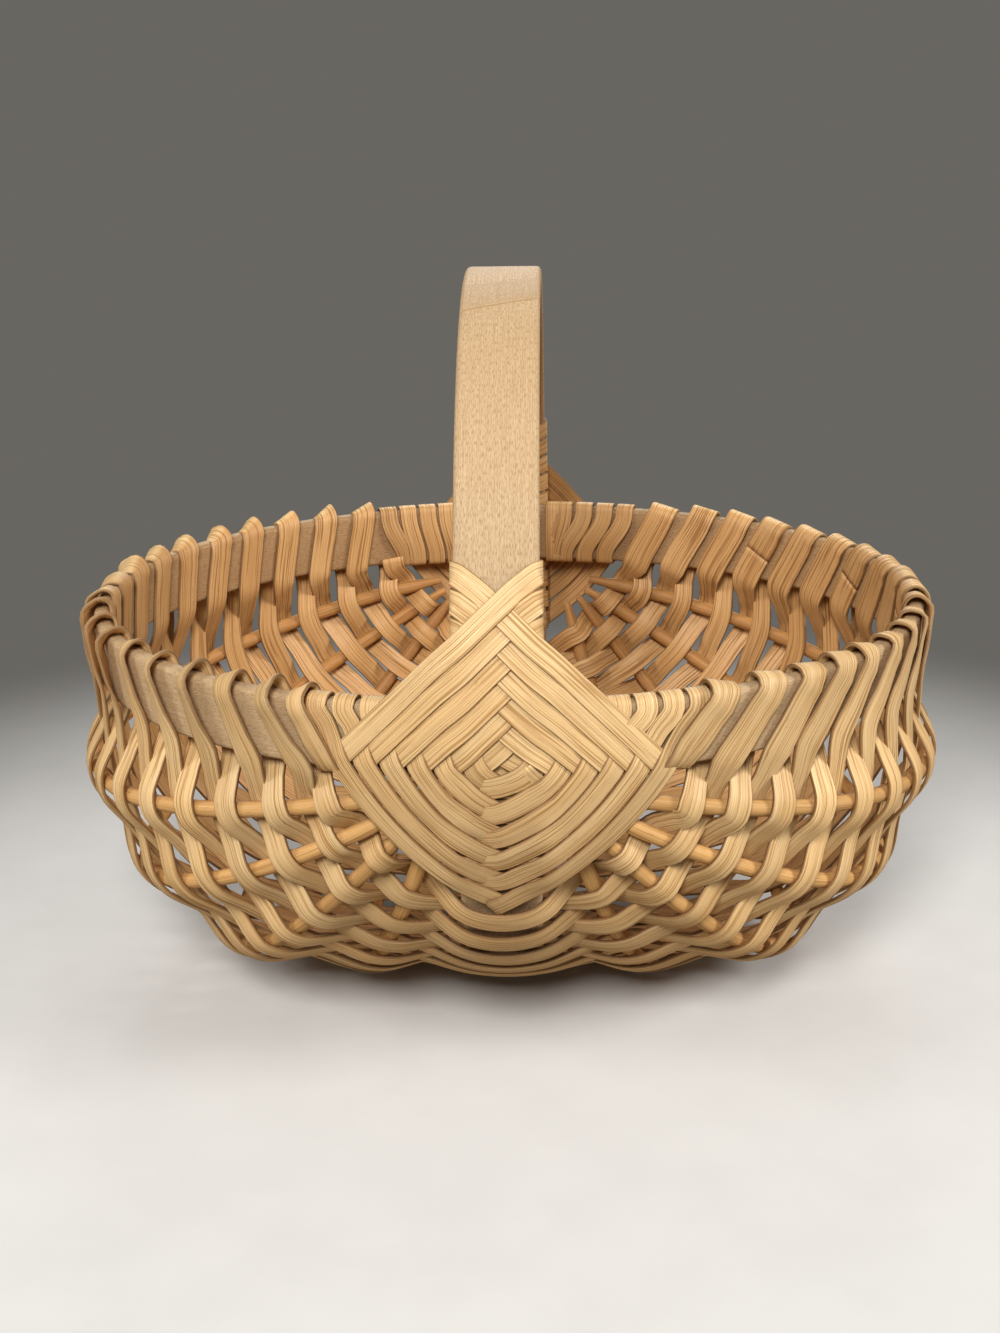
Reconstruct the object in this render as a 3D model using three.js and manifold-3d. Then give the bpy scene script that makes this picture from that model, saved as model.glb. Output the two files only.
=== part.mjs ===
// A buttocks basket: a ribbed basket on two crossed hoops, woven from flat reed.
// Frame: X across the two lobes, Y from the front ear to the back ear, Z up, floor at Z = 0.
// While it is built, Z = 0 is the height where the two hoops cross; the last step lifts it.
import * as THREE from 'three';
import { mergeVertices } from 'three/addons/utils/BufferGeometryUtils.js';
import Module from 'manifold-3d';

// Driving dimensions in millimetres
const HOOP_DIAMETER = 212;      // handle hoop, over its outside
const HOOP_WIDTH = 22;          // handle hoop, along X
const HOOP_STOCK = 5;           // handle hoop, thickness of its wood
const RIM_LENGTH = 250;         // rim hoop, over its outside along X
const RIM_HEIGHT = 19;          // rim hoop, along Z
const RIM_STOCK = 5;            // rim hoop, thickness of its wood
const RIB_DIAMETER = 4.6;       // round reed of the ribs
const RIB_TIP_DIAMETER = 2.2;   // whittled end of a rib
const RIB_TAPER = 12;           // length of the whittled end
const RIB_TUCK = 10;            // from the point where the ribs gather to a rib's tip
const WEAVER_WIDTH = 6.35;      // quarter inch flat reed
const WEAVER_THICKNESS = 1.2;
const EAR_PITCH = 6.6;          // step of the ear lashing along the handle and the rim
const EAR_DROP_PITCH = 7.4;     // step of the ear lashing down the hoop
const EAR_FLARE = 4;            // how far a lashing slants outward as it goes behind an arm
const EAR_LIFT = 0.4;           // how far the lashing stands off the curved front of the handle
const EAR_BOW = 3;              // outward bow of the longest lower lashing strands
const WRAP_SLANT = 5;           // how far a rim wrap leans away from the ear, from bottom to top
const CLEARANCE = 0.3;          // gap between pieces that touch

// Where the ribs pass the middle plane, from the rim down: how far inside the rim's end,
// and how high above the hoop's lowest point
const RIB_1_INSIDE = -2.8;
const RIB_2_INSIDE = 9.8;
const RIB_3_INSIDE = 37.9;
const RIB_4_INSIDE = 79;
const RIB_1_ABOVE = 67;
const RIB_2_ABOVE = 34.5;
const RIB_3_ABOVE = 8;
const RIB_4_ABOVE = 0.5;

// Counts
const ROWS = 37;                // weaver rows from ear to ear, an odd number
const STRANDS = 6;              // lengths of reed that the rows are woven from
const FRONT_EAR_TURNS = 6;      // turns of the front ear's lashing
const BACK_EAR_TURNS = 5;       // turns of the back ear's lashing
const FIRST_WRAP = 4;           // first turn of the lashing that shows behind an arm
const SLANT_FADE = 4;           // rows from the middle over which the rim wraps come upright

// The powers shape a rib's curve: above 1 it leaves the ear more slowly in that direction
const RIBS = [
  { name: '1', insideRim: RIB_1_INSIDE, aboveHoop: RIB_1_ABOVE, sidePower: 1.0, dropPower: 1.12 },
  { name: '2', insideRim: RIB_2_INSIDE, aboveHoop: RIB_2_ABOVE, sidePower: 1.04, dropPower: 1.0 },
  { name: '3', insideRim: RIB_3_INSIDE, aboveHoop: RIB_3_ABOVE, sidePower: 1.06, dropPower: 1.0 },
  { name: '4', insideRim: RIB_4_INSIDE, aboveHoop: RIB_4_ABOVE, sidePower: 1.4, dropPower: 1.15 },
];
const RIB_START_SIDE = 5.5;     // from the handle's edge to the point where the ribs gather
const RIB_START_DROP = 6;       // from the rim's lower edge to that point
const RIB_INSET = 5;            // from the rim's outside, at the ear, in to the ribs' ends

// Faceting
const HOOP_STEPS = 72;
const RIM_STEPS = 64;
const RIB_STEPS = 24;
const RIB_SIDES = 8;

// Derived sizes
const hoopRadius = HOOP_DIAMETER / 2;
const hoopHalf = HOOP_WIDTH / 2;
const rimHalfHeight = RIM_HEIGHT / 2;
const ribRadius = RIB_DIAMETER / 2;
const strandHalf = WEAVER_THICKNESS / 2;
const lay = CLEARANCE + strandHalf;              // from a surface to the middle of a strand on it
const rimOuterX = RIM_LENGTH / 2;
const hoopInner = (hoopRadius - HOOP_STOCK) * Math.cos(Math.PI / HOOP_STEPS);
const rimOuterY = Math.sqrt(hoopInner ** 2 - rimHalfHeight ** 2) - CLEARANCE;
const rimOffset = RIM_STOCK / 2 + lay;
const middleRow = (ROWS - 1) / 2;
const besideEar = EAR_FLARE + WEAVER_WIDTH + CLEARANCE * 2;
const rimFirstRow = (earTurns) => EAR_PITCH * earTurns + besideEar;
const hoopFirstRow = (earTurns) => EAR_DROP_PITCH * earTurns + besideEar;

const UP = new THREE.Vector3(0, 0, 1);
const FORWARD = new THREE.Vector3(0, -1, 0);
const vec = (x, y, z) => new THREE.Vector3(x, y, z);
const mirrorX = (v) => vec(-v.x, v.y, v.z);

// Right half of the rim's middle line, from the front ear to the back ear
class RimCurve extends THREE.Curve {
  getPoint(t, target = new THREE.Vector3()) {
    const angle = Math.PI * t;
    const x = (rimOuterX - RIM_STOCK / 2) * Math.sin(angle);
    const y = -(rimOuterY - RIM_STOCK / 2) * Math.cos(angle);
    return target.set(x, y, 0);
  }
}

// Lower half of the handle hoop's middle line, from the front ear to the back ear
class HoopCurve extends THREE.Curve {
  getPoint(t, target = new THREE.Vector3()) {
    const angle = Math.PI * t;
    const radius = hoopRadius - HOOP_STOCK / 2;
    return target.set(0, -radius * Math.cos(angle), -radius * Math.sin(angle));
  }
}

// Middle line of one rib on the right, bulging from ear to ear
class RibCurve extends THREE.Curve {
  constructor(rib) {
    super();
    this.rib = rib;
    this.start = vec(hoopHalf + RIB_START_SIDE, rimOuterY - RIB_INSET, -rimHalfHeight - RIB_START_DROP);
    this.side = rimOuterX - rib.insideRim - this.start.x;
    this.drop = -(hoopRadius - rib.aboveHoop) - this.start.z;
  }
  getPoint(t, target = new THREE.Vector3()) {
    const angle = Math.PI * t;
    const bulge = Math.max(Math.sin(angle), 0);
    return target.set(
      this.start.x + this.side * bulge ** this.rib.sidePower,
      -this.start.y * Math.cos(angle),
      this.start.z + this.drop * bulge ** this.rib.dropPower,
    );
  }
}

// Closed solid through a list of rings with the same number of corners
function loft(rings, closed = false) {
  const sides = rings[0].length;
  const positions = rings.flat().flatMap((p) => [p.x, p.y, p.z]);
  const index = [];
  const spans = closed ? rings.length : rings.length - 1;
  for (let i = 0; i < spans; i += 1) {
    const a = i * sides;
    const b = ((i + 1) % rings.length) * sides;
    for (let k = 0; k < sides; k += 1) {
      const next = (k + 1) % sides;
      index.push(a + k, b + k, b + next, a + k, b + next, a + next);
    }
  }
  if (!closed) {
    const last = (rings.length - 1) * sides;
    for (let k = 1; k < sides - 1; k += 1) {
      index.push(0, k, k + 1);
      index.push(last, last + k + 1, last + k);
    }
  }
  const geometry = new THREE.BufferGeometry();
  geometry.setAttribute('position', new THREE.Float32BufferAttribute(positions, 3));
  geometry.setIndex(index);
  if (signedVolume(geometry) < 0) index.reverse();
  geometry.setIndex(index);
  return geometry;
}

function signedVolume(geometry) {
  const position = geometry.getAttribute('position');
  const index = geometry.getIndex();
  const corners = [vec(0, 0, 0), vec(0, 0, 0), vec(0, 0, 0)];
  let volume = 0;
  for (let i = 0; i < index.count; i += 3) {
    corners.forEach((corner, k) => corner.fromBufferAttribute(position, index.getX(i + k)));
    volume += corners[0].dot(corners[1].clone().cross(corners[2])) / 6;
  }
  return volume;
}

// Four corners of a flat section: normal is its thickness, across is its width
function section(point, normal, across, halfThickness, halfWidth) {
  const n = normal.clone().multiplyScalar(halfThickness);
  const w = across.clone().multiplyScalar(halfWidth);
  return [
    point.clone().add(n).add(w),
    point.clone().sub(n).add(w),
    point.clone().sub(n).sub(w),
    point.clone().add(n).sub(w),
  ];
}

// Hoops

function handleHoop() {
  const rings = [];
  for (let i = 0; i < HOOP_STEPS; i += 1) {
    const angle = (2 * Math.PI * (i + 0.5)) / HOOP_STEPS;
    const outward = vec(0, Math.cos(angle), Math.sin(angle));
    const middle = outward.clone().multiplyScalar(hoopRadius - HOOP_STOCK / 2);
    rings.push(section(middle, outward, vec(1, 0, 0), HOOP_STOCK / 2, hoopHalf));
  }
  return loft(rings, true);
}

function rimFrame(curve, u) {
  const point = curve.getPointAt(THREE.MathUtils.clamp(u, 0, 1));
  const along = curve.getTangentAt(THREE.MathUtils.clamp(u, 0, 1));
  return { point, along, outward: along.clone().cross(UP).normalize() };
}

function rimHoop(curve) {
  const right = [];
  for (let i = 0; i <= RIM_STEPS / 2; i += 1) {
    const { point, outward } = rimFrame(curve, i / (RIM_STEPS / 2));
    if (i === 0 || i === RIM_STEPS / 2) outward.set(0, Math.sign(point.y), 0);
    right.push(section(point, outward, UP, RIM_STOCK / 2, rimHalfHeight));
  }
  const left = right.slice(1, -1).reverse().map((ring) => ring.map(mirrorX));
  return loft([...right, ...left], true);
}

// Ribs: round reed, whittled towards both ends where it is tucked into the ear

function ribRings(curve) {
  const length = curve.getLength();
  const rings = [];
  for (let i = 0; i <= RIB_STEPS; i += 1) {
    const start = RIB_TUCK / length;
    const u = start + (1 - 2 * start) * (i / RIB_STEPS);
    const fromEnd = Math.min(u, 1 - u) * length - RIB_TUCK;
    const whittled = THREE.MathUtils.clamp(fromEnd / RIB_TAPER, 0, 1);
    const radius = THREE.MathUtils.lerp(RIB_TIP_DIAMETER / 2, ribRadius, whittled);
    const along = curve.getTangentAt(u);
    const first = along.clone().cross(vec(1, 0, 0)).normalize();
    const second = along.clone().cross(first);
    const ring = [];
    for (let k = 0; k < RIB_SIDES; k += 1) {
      const angle = (2 * Math.PI * k) / RIB_SIDES;
      const spoke = first.clone().multiplyScalar(Math.cos(angle));
      spoke.addScaledVector(second, Math.sin(angle));
      ring.push(curve.getPointAt(u).addScaledVector(spoke, radius));
    }
    rings.push(ring);
  }
  return rings;
}

// Weavers: each row crosses every rib and both hoops, now outside and now inside,
// and turns over the rim into the next row

// Share of a rib that an ear's lashing covers before the first row beside it
function firstRowOnRib(curve, earTurns) {
  const bow = 1.25;     // the ear's lower edge: 1 would be straight, 2 a quarter of an oval
  const beside = 1.15;  // how far past that edge the row lies
  const steps = 400;
  const hoopDrop = hoopRadius * Math.sin(hoopFirstRow(earTurns) / hoopRadius);
  for (let i = 1; i < steps / 2; i += 1) {
    const p = curve.getPointAt(i / steps);
    if ((p.x / rimFirstRow(earTurns)) ** bow + (-p.z / hoopDrop) ** bow >= beside) return i / steps;
  }
  return 0.25;
}

// A line that the rows cross, with firstRow giving the share that an ear of so many turns covers
function warpOf(curve, half, firstRow) {
  const front = firstRow(FRONT_EAR_TURNS);
  const step = (1 - front - firstRow(BACK_EAR_TURNS)) / (ROWS - 1);
  return { curve, half, pitch: step * curve.getLength(), at: (row) => front + step * row };
}

// Sections of one row from the hoop to the last rib before the rim, on the right
function rowSections(warps, row, side) {
  const points = warps.map((warp) => warp.curve.getPointAt(warp.at(row)));
  const sections = [];
  for (let k = 0; k < warps.length - 1; k += 1) {
    const warp = warps[k];
    const before = k === 0 ? mirrorX(points[1]) : points[k - 1];
    const along = points[k + 1].clone().sub(before).normalize();
    const grain = warp.curve.getTangentAt(warp.at(row));
    const outward = grain.clone().cross(along).normalize();
    if (outward.dot(points[k]) < 0) outward.negate();
    const across = outward.clone().cross(along).normalize();
    const room = warp.pitch * Math.abs(across.dot(grain)) - CLEARANCE * 3;
    const width = Math.min(WEAVER_WIDTH, room);
    const place = (k + warps.length) % 2 === 0 ? -side : side;
    const stand = warp.half + lay + (place < 0 ? CLEARANCE : 0);
    const middle = points[k].clone().addScaledVector(outward, place * stand);
    const flats = k === 0 ? [hoopHalf + lay] : [-ribRadius * 0.8, ribRadius * 0.8];
    flats.forEach((flat) => {
      const point = middle.clone().addScaledVector(along, flat);
      sections.push(section(point, outward, across, strandHalf, width / 2));
    });
  }
  return sections;
}

// Sections that take a row up the rim's outside, over its top and down its inside
function turnSections(rim, row, innerRow) {
  const slanted = THREE.MathUtils.clamp((middleRow - row) / SLANT_FADE, -1, 1);
  const lean = (slanted * WRAP_SLANT) / rim.curve.getLength();
  const low = -rimHalfHeight - lay;
  const high = rimHalfHeight + lay;
  const ring = (u, outside, height, rise) => {
    const { point, along, outward } = rimFrame(rim.curve, u);
    const normal = outward.clone().multiplyScalar(outside).addScaledVector(UP, rise);
    const middle = point.addScaledVector(outward, outside * rimOffset).addScaledVector(UP, height);
    return section(middle, normal, along.negate(), strandHalf, WEAVER_WIDTH / 2);
  };
  const at = rim.at(row) - lean / 4;
  const topInner = at + lean * 1.2;
  const inside = (share) => {
    const u = THREE.MathUtils.lerp(rim.at(innerRow), topInner, share);
    return ring(u, -1, THREE.MathUtils.lerp(low, high, share), 0);
  };
  return {
    over: [ring(at, 1, low, 0), ring(at + lean, 1, high, 1), ring(topInner, -1, high, 1)],
    inner: inside(0),
    cutBelow: inside(0.4),
    cutAbove: inside(0.4 + (2 * CLEARANCE) / RIM_HEIGHT),
  };
}

// Sections of the whole weave in the order the reed is laid, split into its lengths
function weaverStrands(warps) {
  const rim = warps[warps.length - 1];
  const left = (rings) => rings.map((ring) => ring.map(mirrorX));
  const underside = (ring) => [ring[1], ring[0], ring[3], ring[2]];
  const start = turnSections(rim, 0, 0);
  const strands = [[start.cutBelow, start.inner]];
  const rowsPerStrand = Math.round(ROWS / STRANDS);
  for (let row = 0; row < ROWS; row += 1) {
    const strand = strands[strands.length - 1];
    const outer = row % 2 === 1;
    const half = rowSections(warps, row, outer ? 1 : -1);
    const lastRow = row === ROWS - 1;
    const splits = !lastRow && (row + 1) % rowsPerStrand === 0 && strands.length < STRANDS;
    if (outer) {
      strand.push(...left(half).reverse(), ...half);
      const turn = turnSections(rim, row, row + 1);
      strand.push(...turn.over);
      if (splits) {
        strand.push(turn.cutAbove);
        strands.push([turn.cutBelow, turn.inner]);
      } else strand.push(turn.inner);
    } else {
      strand.push(...half.map(underside).reverse(), ...left(half).map(underside));
      const turn = turnSections(rim, lastRow ? row : row + 1, row);
      const over = [...turn.over].reverse();
      if (lastRow || splits) strand.push(...left([turn.inner, turn.cutBelow]));
      else strand.push(...left([turn.inner, ...over]));
      if (splits) strands.push(left([turn.cutAbove, ...over]));
    }
  }
  return strands;
}

// Ear lashing: one strand spirals outward round the four arms where the hoops cross,
// and goes behind each arm on its way

const ARMS = ['right', 'handle', 'left', 'hoop'];
const armPitch = (arm) => (arm === 'hoop' ? EAR_DROP_PITCH : EAR_PITCH);

// Distance in front of the origin where the lashing lies beside the handle, and how fast it falls back
function earFace(x) {
  const edge = hoopHalf + lay;
  const end = EAR_PITCH * (FRONT_EAR_TURNS + 1);
  const handleFace = hoopRadius + EAR_LIFT;
  const rimFace = rimOuterY * Math.sqrt(1 - (end / rimOuterX) ** 2) + CLEARANCE;
  const slope = (handleFace - rimFace) / (end - edge);
  const beside = Math.max(x - edge, 0);
  return { distance: lay + handleFace - slope * beside, slope: beside > 0 ? slope : 0 };
}

// Place, facing and outward direction on an arm of the front ear
function onArm(arm, distance) {
  if (arm === 'handle' || arm === 'hoop') {
    const up = arm === 'handle' ? 1 : -1;
    const angle = distance / hoopRadius;
    const normal = vec(0, -Math.cos(angle), up * Math.sin(angle));
    const across = vec(0, Math.sin(angle), up * Math.cos(angle));
    return { point: normal.clone().multiplyScalar(hoopRadius + EAR_LIFT + lay), normal, across };
  }
  const side = arm === 'right' ? 1 : -1;
  const face = earFace(distance);
  return {
    point: vec(side * distance, -face.distance, 0),
    normal: vec(side * face.slope, -1, 0).normalize(),
    across: vec(side, face.slope, 0).normalize(),
  };
}

// Sections of the spiral between one arm and the next
function lashingSpan(fromArm, toArm, fromTurn, toTurn) {
  const upright = fromArm === 'handle' || fromArm === 'hoop';
  const [postArm, sideArm] = upright ? [fromArm, toArm] : [toArm, fromArm];
  const [postTurn, sideTurn] = upright ? [fromTurn, toTurn] : [toTurn, fromTurn];
  const post = postTurn * armPitch(postArm);
  const side = sideTurn * EAR_PITCH;
  const step = 1 / Math.hypot(1 / armPitch(postArm), 1 / EAR_PITCH);
  const halfWidth = step / 2 - CLEARANCE;
  const sign = sideArm === 'right' ? 1 : -1;
  const edge = hoopHalf + lay;
  if (side <= edge) return [];
  const outward = vec(sign / side, 0, (postArm === 'handle' ? 1 : -1) / post).normalize();
  const atEdge = onArm(postArm, post * (1 - edge / side));
  atEdge.point.x = sign * edge;
  const stations = [{ point: atEdge.point, normal: atEdge.normal }];
  if (postArm === 'hoop') {
    const end = onArm(sideArm, side).point;
    const bow = (EAR_BOW * sideTurn) / FRONT_EAR_TURNS;
    const middle = atEdge.point.clone().lerp(end, 0.45).addScaledVector(outward, bow);
    stations.push({ point: middle, normal: FORWARD });
  }
  if (!upright) stations.reverse();
  return stations.map(({ point, normal }) => {
    const across = outward.clone().addScaledVector(normal, -outward.dot(normal)).normalize();
    return section(point, normal, across, strandHalf, halfWidth);
  });
}

function lashingSpiral(turns) {
  const rings = [];
  const startTurn = 0.7;
  for (let corner = 0; corner <= 4 * turns; corner += 1) {
    const arm = ARMS[corner % 4];
    const turn = startTurn + corner / 4;
    const { point, normal, across } = onArm(arm, turn * armPitch(arm));
    const step = 1 / Math.hypot(1 / armPitch(arm), 1 / EAR_PITCH);
    const halfWidth = (armPitch(arm) / 2) * (1 - (2 * CLEARANCE) / step);
    rings.push(section(point, normal, across, strandHalf, halfWidth));
    const nextArm = ARMS[(corner + 1) % 4];
    if (corner < 4 * turns) rings.push(...lashingSpan(arm, nextArm, turn, turn + 0.25));
  }
  return loft(rings);
}

// One pass of the lashing behind an arm, closed by the strands in front of it
function lashingWrap(arm, turn, rimCurve) {
  if (arm === 'left') return mirrored(lashingWrap('right', turn, rimCurve), 'x');
  const distance = turn * armPitch(arm);
  const halfWidth = WEAVER_WIDTH / 2 - CLEARANCE * 2;
  const thin = strandHalf * 0.8;
  const middle = onArm(arm, distance);
  const front = onArm(arm, distance + EAR_FLARE);
  const back = { point: front.point.clone(), across: front.across };
  if (arm === 'right') {
    const { point, along, outward } = rimFrame(rimCurve, (distance + EAR_FLARE) / rimCurve.getLength());
    back.point.copy(point).addScaledVector(outward, -rimOffset);
    back.across = along;
  } else back.point.addScaledVector(front.normal, -HOOP_STOCK - EAR_LIFT - 2 * lay);
  const sideways = arm === 'right' ? UP : vec(1, 0, 0);
  const reach = (arm === 'right' ? rimHalfHeight : hoopHalf) + lay;
  const rings = [section(middle.point, middle.normal, middle.across, thin, halfWidth)];
  [[front, 1, 1], [back, 1, -1], [back, -1, -1], [front, -1, 1]].forEach(([place, side, forward]) => {
    const normal = front.normal.clone().multiplyScalar(forward).addScaledVector(sideways, side);
    const corner = place.point.clone().addScaledVector(sideways, side * reach);
    rings.push(section(corner, normal, place.across, thin, halfWidth));
  });
  return loft(rings, true);
}

const wasm = await Module();
wasm.setup();

function solidOf(geometry) {
  const bare = new THREE.BufferGeometry();
  bare.setAttribute('position', geometry.getAttribute('position'));
  bare.setIndex(geometry.getIndex());
  const merged = mergeVertices(bare, 1e-5);
  return new wasm.Manifold(new wasm.Mesh({
    numProp: 3,
    vertProperties: Float32Array.from(merged.getAttribute('position').array),
    triVerts: Uint32Array.from(merged.getIndex().array),
  }));
}

function geometryOf(solid) {
  const mesh = solid.getMesh();
  const geometry = new THREE.BufferGeometry();
  geometry.setAttribute('position', new THREE.Float32BufferAttribute(mesh.vertProperties, 3));
  geometry.setIndex(Array.from(mesh.triVerts));
  return geometry;
}

function earLashing(rimCurve, turns) {
  let solid = solidOf(lashingSpiral(turns));
  ARMS.forEach((arm) => {
    for (let turn = FIRST_WRAP; turn <= turns; turn += 1) {
      solid = solid.add(solidOf(lashingWrap(arm, turn, rimCurve)));
    }
  });
  return geometryOf(solid);
}

// The same solid on the other side of a mirror plane, with its faces turned out again
function mirrored(geometry, axis) {
  const copy = geometry.clone();
  copy.scale(axis === 'x' ? -1 : 1, axis === 'y' ? -1 : 1, 1);
  copy.setIndex(Array.from(geometry.getIndex().array).reverse());
  return copy;
}

// Assembly

const group = new THREE.Group();
const pieces = [];

function piece(name, geometry, color, roughness) {
  const material = new THREE.MeshStandardMaterial({ color, roughness, metalness: 0 });
  const mesh = new THREE.Mesh(geometry, material);
  mesh.name = name;
  group.add(mesh);
  pieces.push(mesh);
}

const rimCurve = new RimCurve();
const hoopCurve = new HoopCurve();
const ribCurves = RIBS.map((rib) => new RibCurve(rib));
const warps = [
  warpOf(hoopCurve, HOOP_STOCK / 2, (turns) => hoopFirstRow(turns) / hoopCurve.getLength()),
  ...[...ribCurves].reverse().map((curve) => warpOf(curve, ribRadius, (turns) => firstRowOnRib(curve, turns))),
  warpOf(rimCurve, RIM_STOCK / 2, (turns) => rimFirstRow(turns) / rimCurve.getLength()),
];

piece('handle_hoop', handleHoop(), 0xd8b27a, 0.55);
piece('rim_hoop', rimHoop(rimCurve), 0xcfa56b, 0.6);
ribCurves.forEach((curve, i) => {
  const rib = loft(ribRings(curve));
  piece(`rib_right_${RIBS[i].name}`, rib, 0xc79a5e, 0.7);
  piece(`rib_left_${RIBS[i].name}`, mirrored(rib, 'x'), 0xc79a5e, 0.7);
});
piece('ear_lashing_front', earLashing(rimCurve, FRONT_EAR_TURNS), 0xd9b274, 0.65);
piece('ear_lashing_back', mirrored(earLashing(rimCurve, BACK_EAR_TURNS), 'y'), 0xd9b274, 0.65);
weaverStrands(warps).forEach((rings, i) => piece(`weaver_${i + 1}`, loft(rings), 0xd2a767, 0.7));

// Stand the basket on the floor
const lowest = Math.min(...pieces.map((mesh) => {
  mesh.geometry.computeBoundingBox();
  return mesh.geometry.boundingBox.min.z;
}));
pieces.forEach((mesh) => mesh.geometry.translate(0, 0, -lowest));

export default group;
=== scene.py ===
"""A buttocks basket in flat reed on two crossed hoops, laid out as an add-on and run as a script."""

import math
import random
from collections import namedtuple

import bpy
import numpy as np
from mathutils import Matrix, Vector


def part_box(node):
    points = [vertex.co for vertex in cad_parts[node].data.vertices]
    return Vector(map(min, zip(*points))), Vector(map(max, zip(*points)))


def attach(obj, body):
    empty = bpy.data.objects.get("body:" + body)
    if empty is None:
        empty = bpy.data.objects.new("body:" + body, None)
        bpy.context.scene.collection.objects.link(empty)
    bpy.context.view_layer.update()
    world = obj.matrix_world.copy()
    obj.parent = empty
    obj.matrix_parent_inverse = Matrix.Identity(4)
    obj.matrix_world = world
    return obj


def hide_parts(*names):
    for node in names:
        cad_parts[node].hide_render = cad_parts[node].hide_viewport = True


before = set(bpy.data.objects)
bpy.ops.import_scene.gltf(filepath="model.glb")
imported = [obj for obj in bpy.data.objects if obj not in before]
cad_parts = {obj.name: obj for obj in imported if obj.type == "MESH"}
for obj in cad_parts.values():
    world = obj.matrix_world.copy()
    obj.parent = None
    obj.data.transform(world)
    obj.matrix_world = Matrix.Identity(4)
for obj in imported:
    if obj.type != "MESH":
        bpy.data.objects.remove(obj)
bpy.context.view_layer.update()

bl_info = {
    "name": "Buttocks Basket",
    "version": (1, 0, 0),
    "blender": (4, 5, 0),
    "location": "View3D > Sidebar > Basket",
    "description": "Dresses a ribbed reed basket: hoops, ribs, ear lashings and weave",
    "category": "Add Mesh",
}

MM = 0.001

# Places read from the frame, in metres
HOOP_LOW, HOOP_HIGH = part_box("handle_hoop")
RIM_LOW, RIM_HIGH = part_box("rim_hoop")
RIB_BOXES = [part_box(f"rib_right_{number}") for number in range(1, 5)]
CROSSING = (RIM_LOW.z + RIM_HIGH.z) / 2

ACROSS = np.array((1.0, 0.0, 0.0))
UP = np.array((0.0, 0.0, 1.0))
MIRROR_X = np.array((-1.0, 1.0, 1.0))
HALF_TURN = np.array((-1.0, -1.0, 1.0))

# Smoothness of the meshes
CURVE_STEPS = 720  # along a rib or half a hoop, where the weave is measured
HOOP_STEPS = 240  # round a hoop's mesh
RIB_STEPS = 110  # along a rib's mesh
RIB_SIDES = 12  # round a rib's mesh
ROUND_STEPS = 4  # round each edge of a hoop
STRAND_STEP = 2.2 * MM  # longest step along a reed
STRAND_TURN = 0.35  # largest turn of its face in one step, in radians
HEADING_REACH = 0.5 * MM  # to either side of a place where a line's heading is taken

# Outline of a flat reed, from the middle of one edge: share of the half width, share of the half thickness
REED_PROFILE = (
    (-1.0, 0.0), (-0.975, 0.88), (-0.9, 1.0), (0.0, 1.04), (0.9, 1.0), (0.975, 0.88),
    (1.0, 0.0), (0.975, -0.88), (0.9, -1.0), (-0.9, -1.0), (-0.975, -0.88),
)
REED_AIR = 0.05 * MM  # between a reed and what it lies on
FACE_SPLIT = 0.45  # splits of a hoop's outer face, in half widths
STRAND_FILL = 0.999  # share of its own number that a strand fills in the UV map

# Feathered lap of the handle's two ends, on the front near the top
LAP_ANGLE = 1.27  # from the front up to its lower end, in radians
LAP_LENGTH = 34 * MM
LAP_STEPS = 16
LAP_STOCK = 0.45 * MM
LAP_SLANT = 0.35  # slope of its ends
LAP_INSET = 0.6  # from the hoop's sides, in roundings of the hoop
LAP_ROUND = 0.4  # rounding of its edges, in stocks of the lap
LAP_SUNK = (0.4, 1.6)  # depth of its lower and its upper end in the hoop, in stocks of the lap

# Shape of the ribs between their ends and the middle plane, from the rim down to the hoop
RIB_SIDE_POWERS = (1.0, 1.04, 1.06, 1.4)
RIB_DROP_POWERS = (1.12, 1.0, 1.0, 1.15)
RIB_START_SIDE = 5.5 * MM  # from the handle's edge to the point where the ribs gather
RIB_START_DROP = 6 * MM  # from the rim's lower edge to that point
RIB_INSET = 5 * MM  # from the rim's outside, at the ear, in to that point

# Where the first row lies beside an ear
RIM_STEP = 6.6 * MM  # along the rim for each turn of the lashing
HOOP_STEP = 7.4 * MM  # down the hoop for each turn
BESIDE_EAR = 10.95 * MM  # room beside the ear
UNDER_EAR = 8.4 * MM  # room under the ear
FIRST_ROW_BOW = 1.25  # power that rounds the row about the ear's corner
FIRST_ROW_ROOM = 1.15  # room about that corner
SHIFTED_ROWS = 6  # first rows on the right that lie past their even places on the ribs
SHIFT_AT_FIRST = 5 * MM  # how far the first of them does
SHIFT_SHARES = (1.0, 0.55, 0.25, 0.0)  # shares of that, from the first rib down

# Rows of the weave
WEAVER_COUNT = 6
WEAVE_SEED = 11
ROW_FILL = 1.25  # greatest width, in rooms between rows
ROW_WIDTHS = (0.95, 1.02)  # spread of the widths
ROW_STRAY = 0.3 * MM  # how far a strand strays along what it crosses
ROW_LEAN = 0.07  # slope with which its face leans at most
ROW_FLAT = 0.75  # half of its flat stretch on a rib, in rib radii
ROW_BETWEEN = 0.99  # width between ribs, in rooms
RIM_BETWEEN = 0.48  # half width below the rim, in rooms on it

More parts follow.
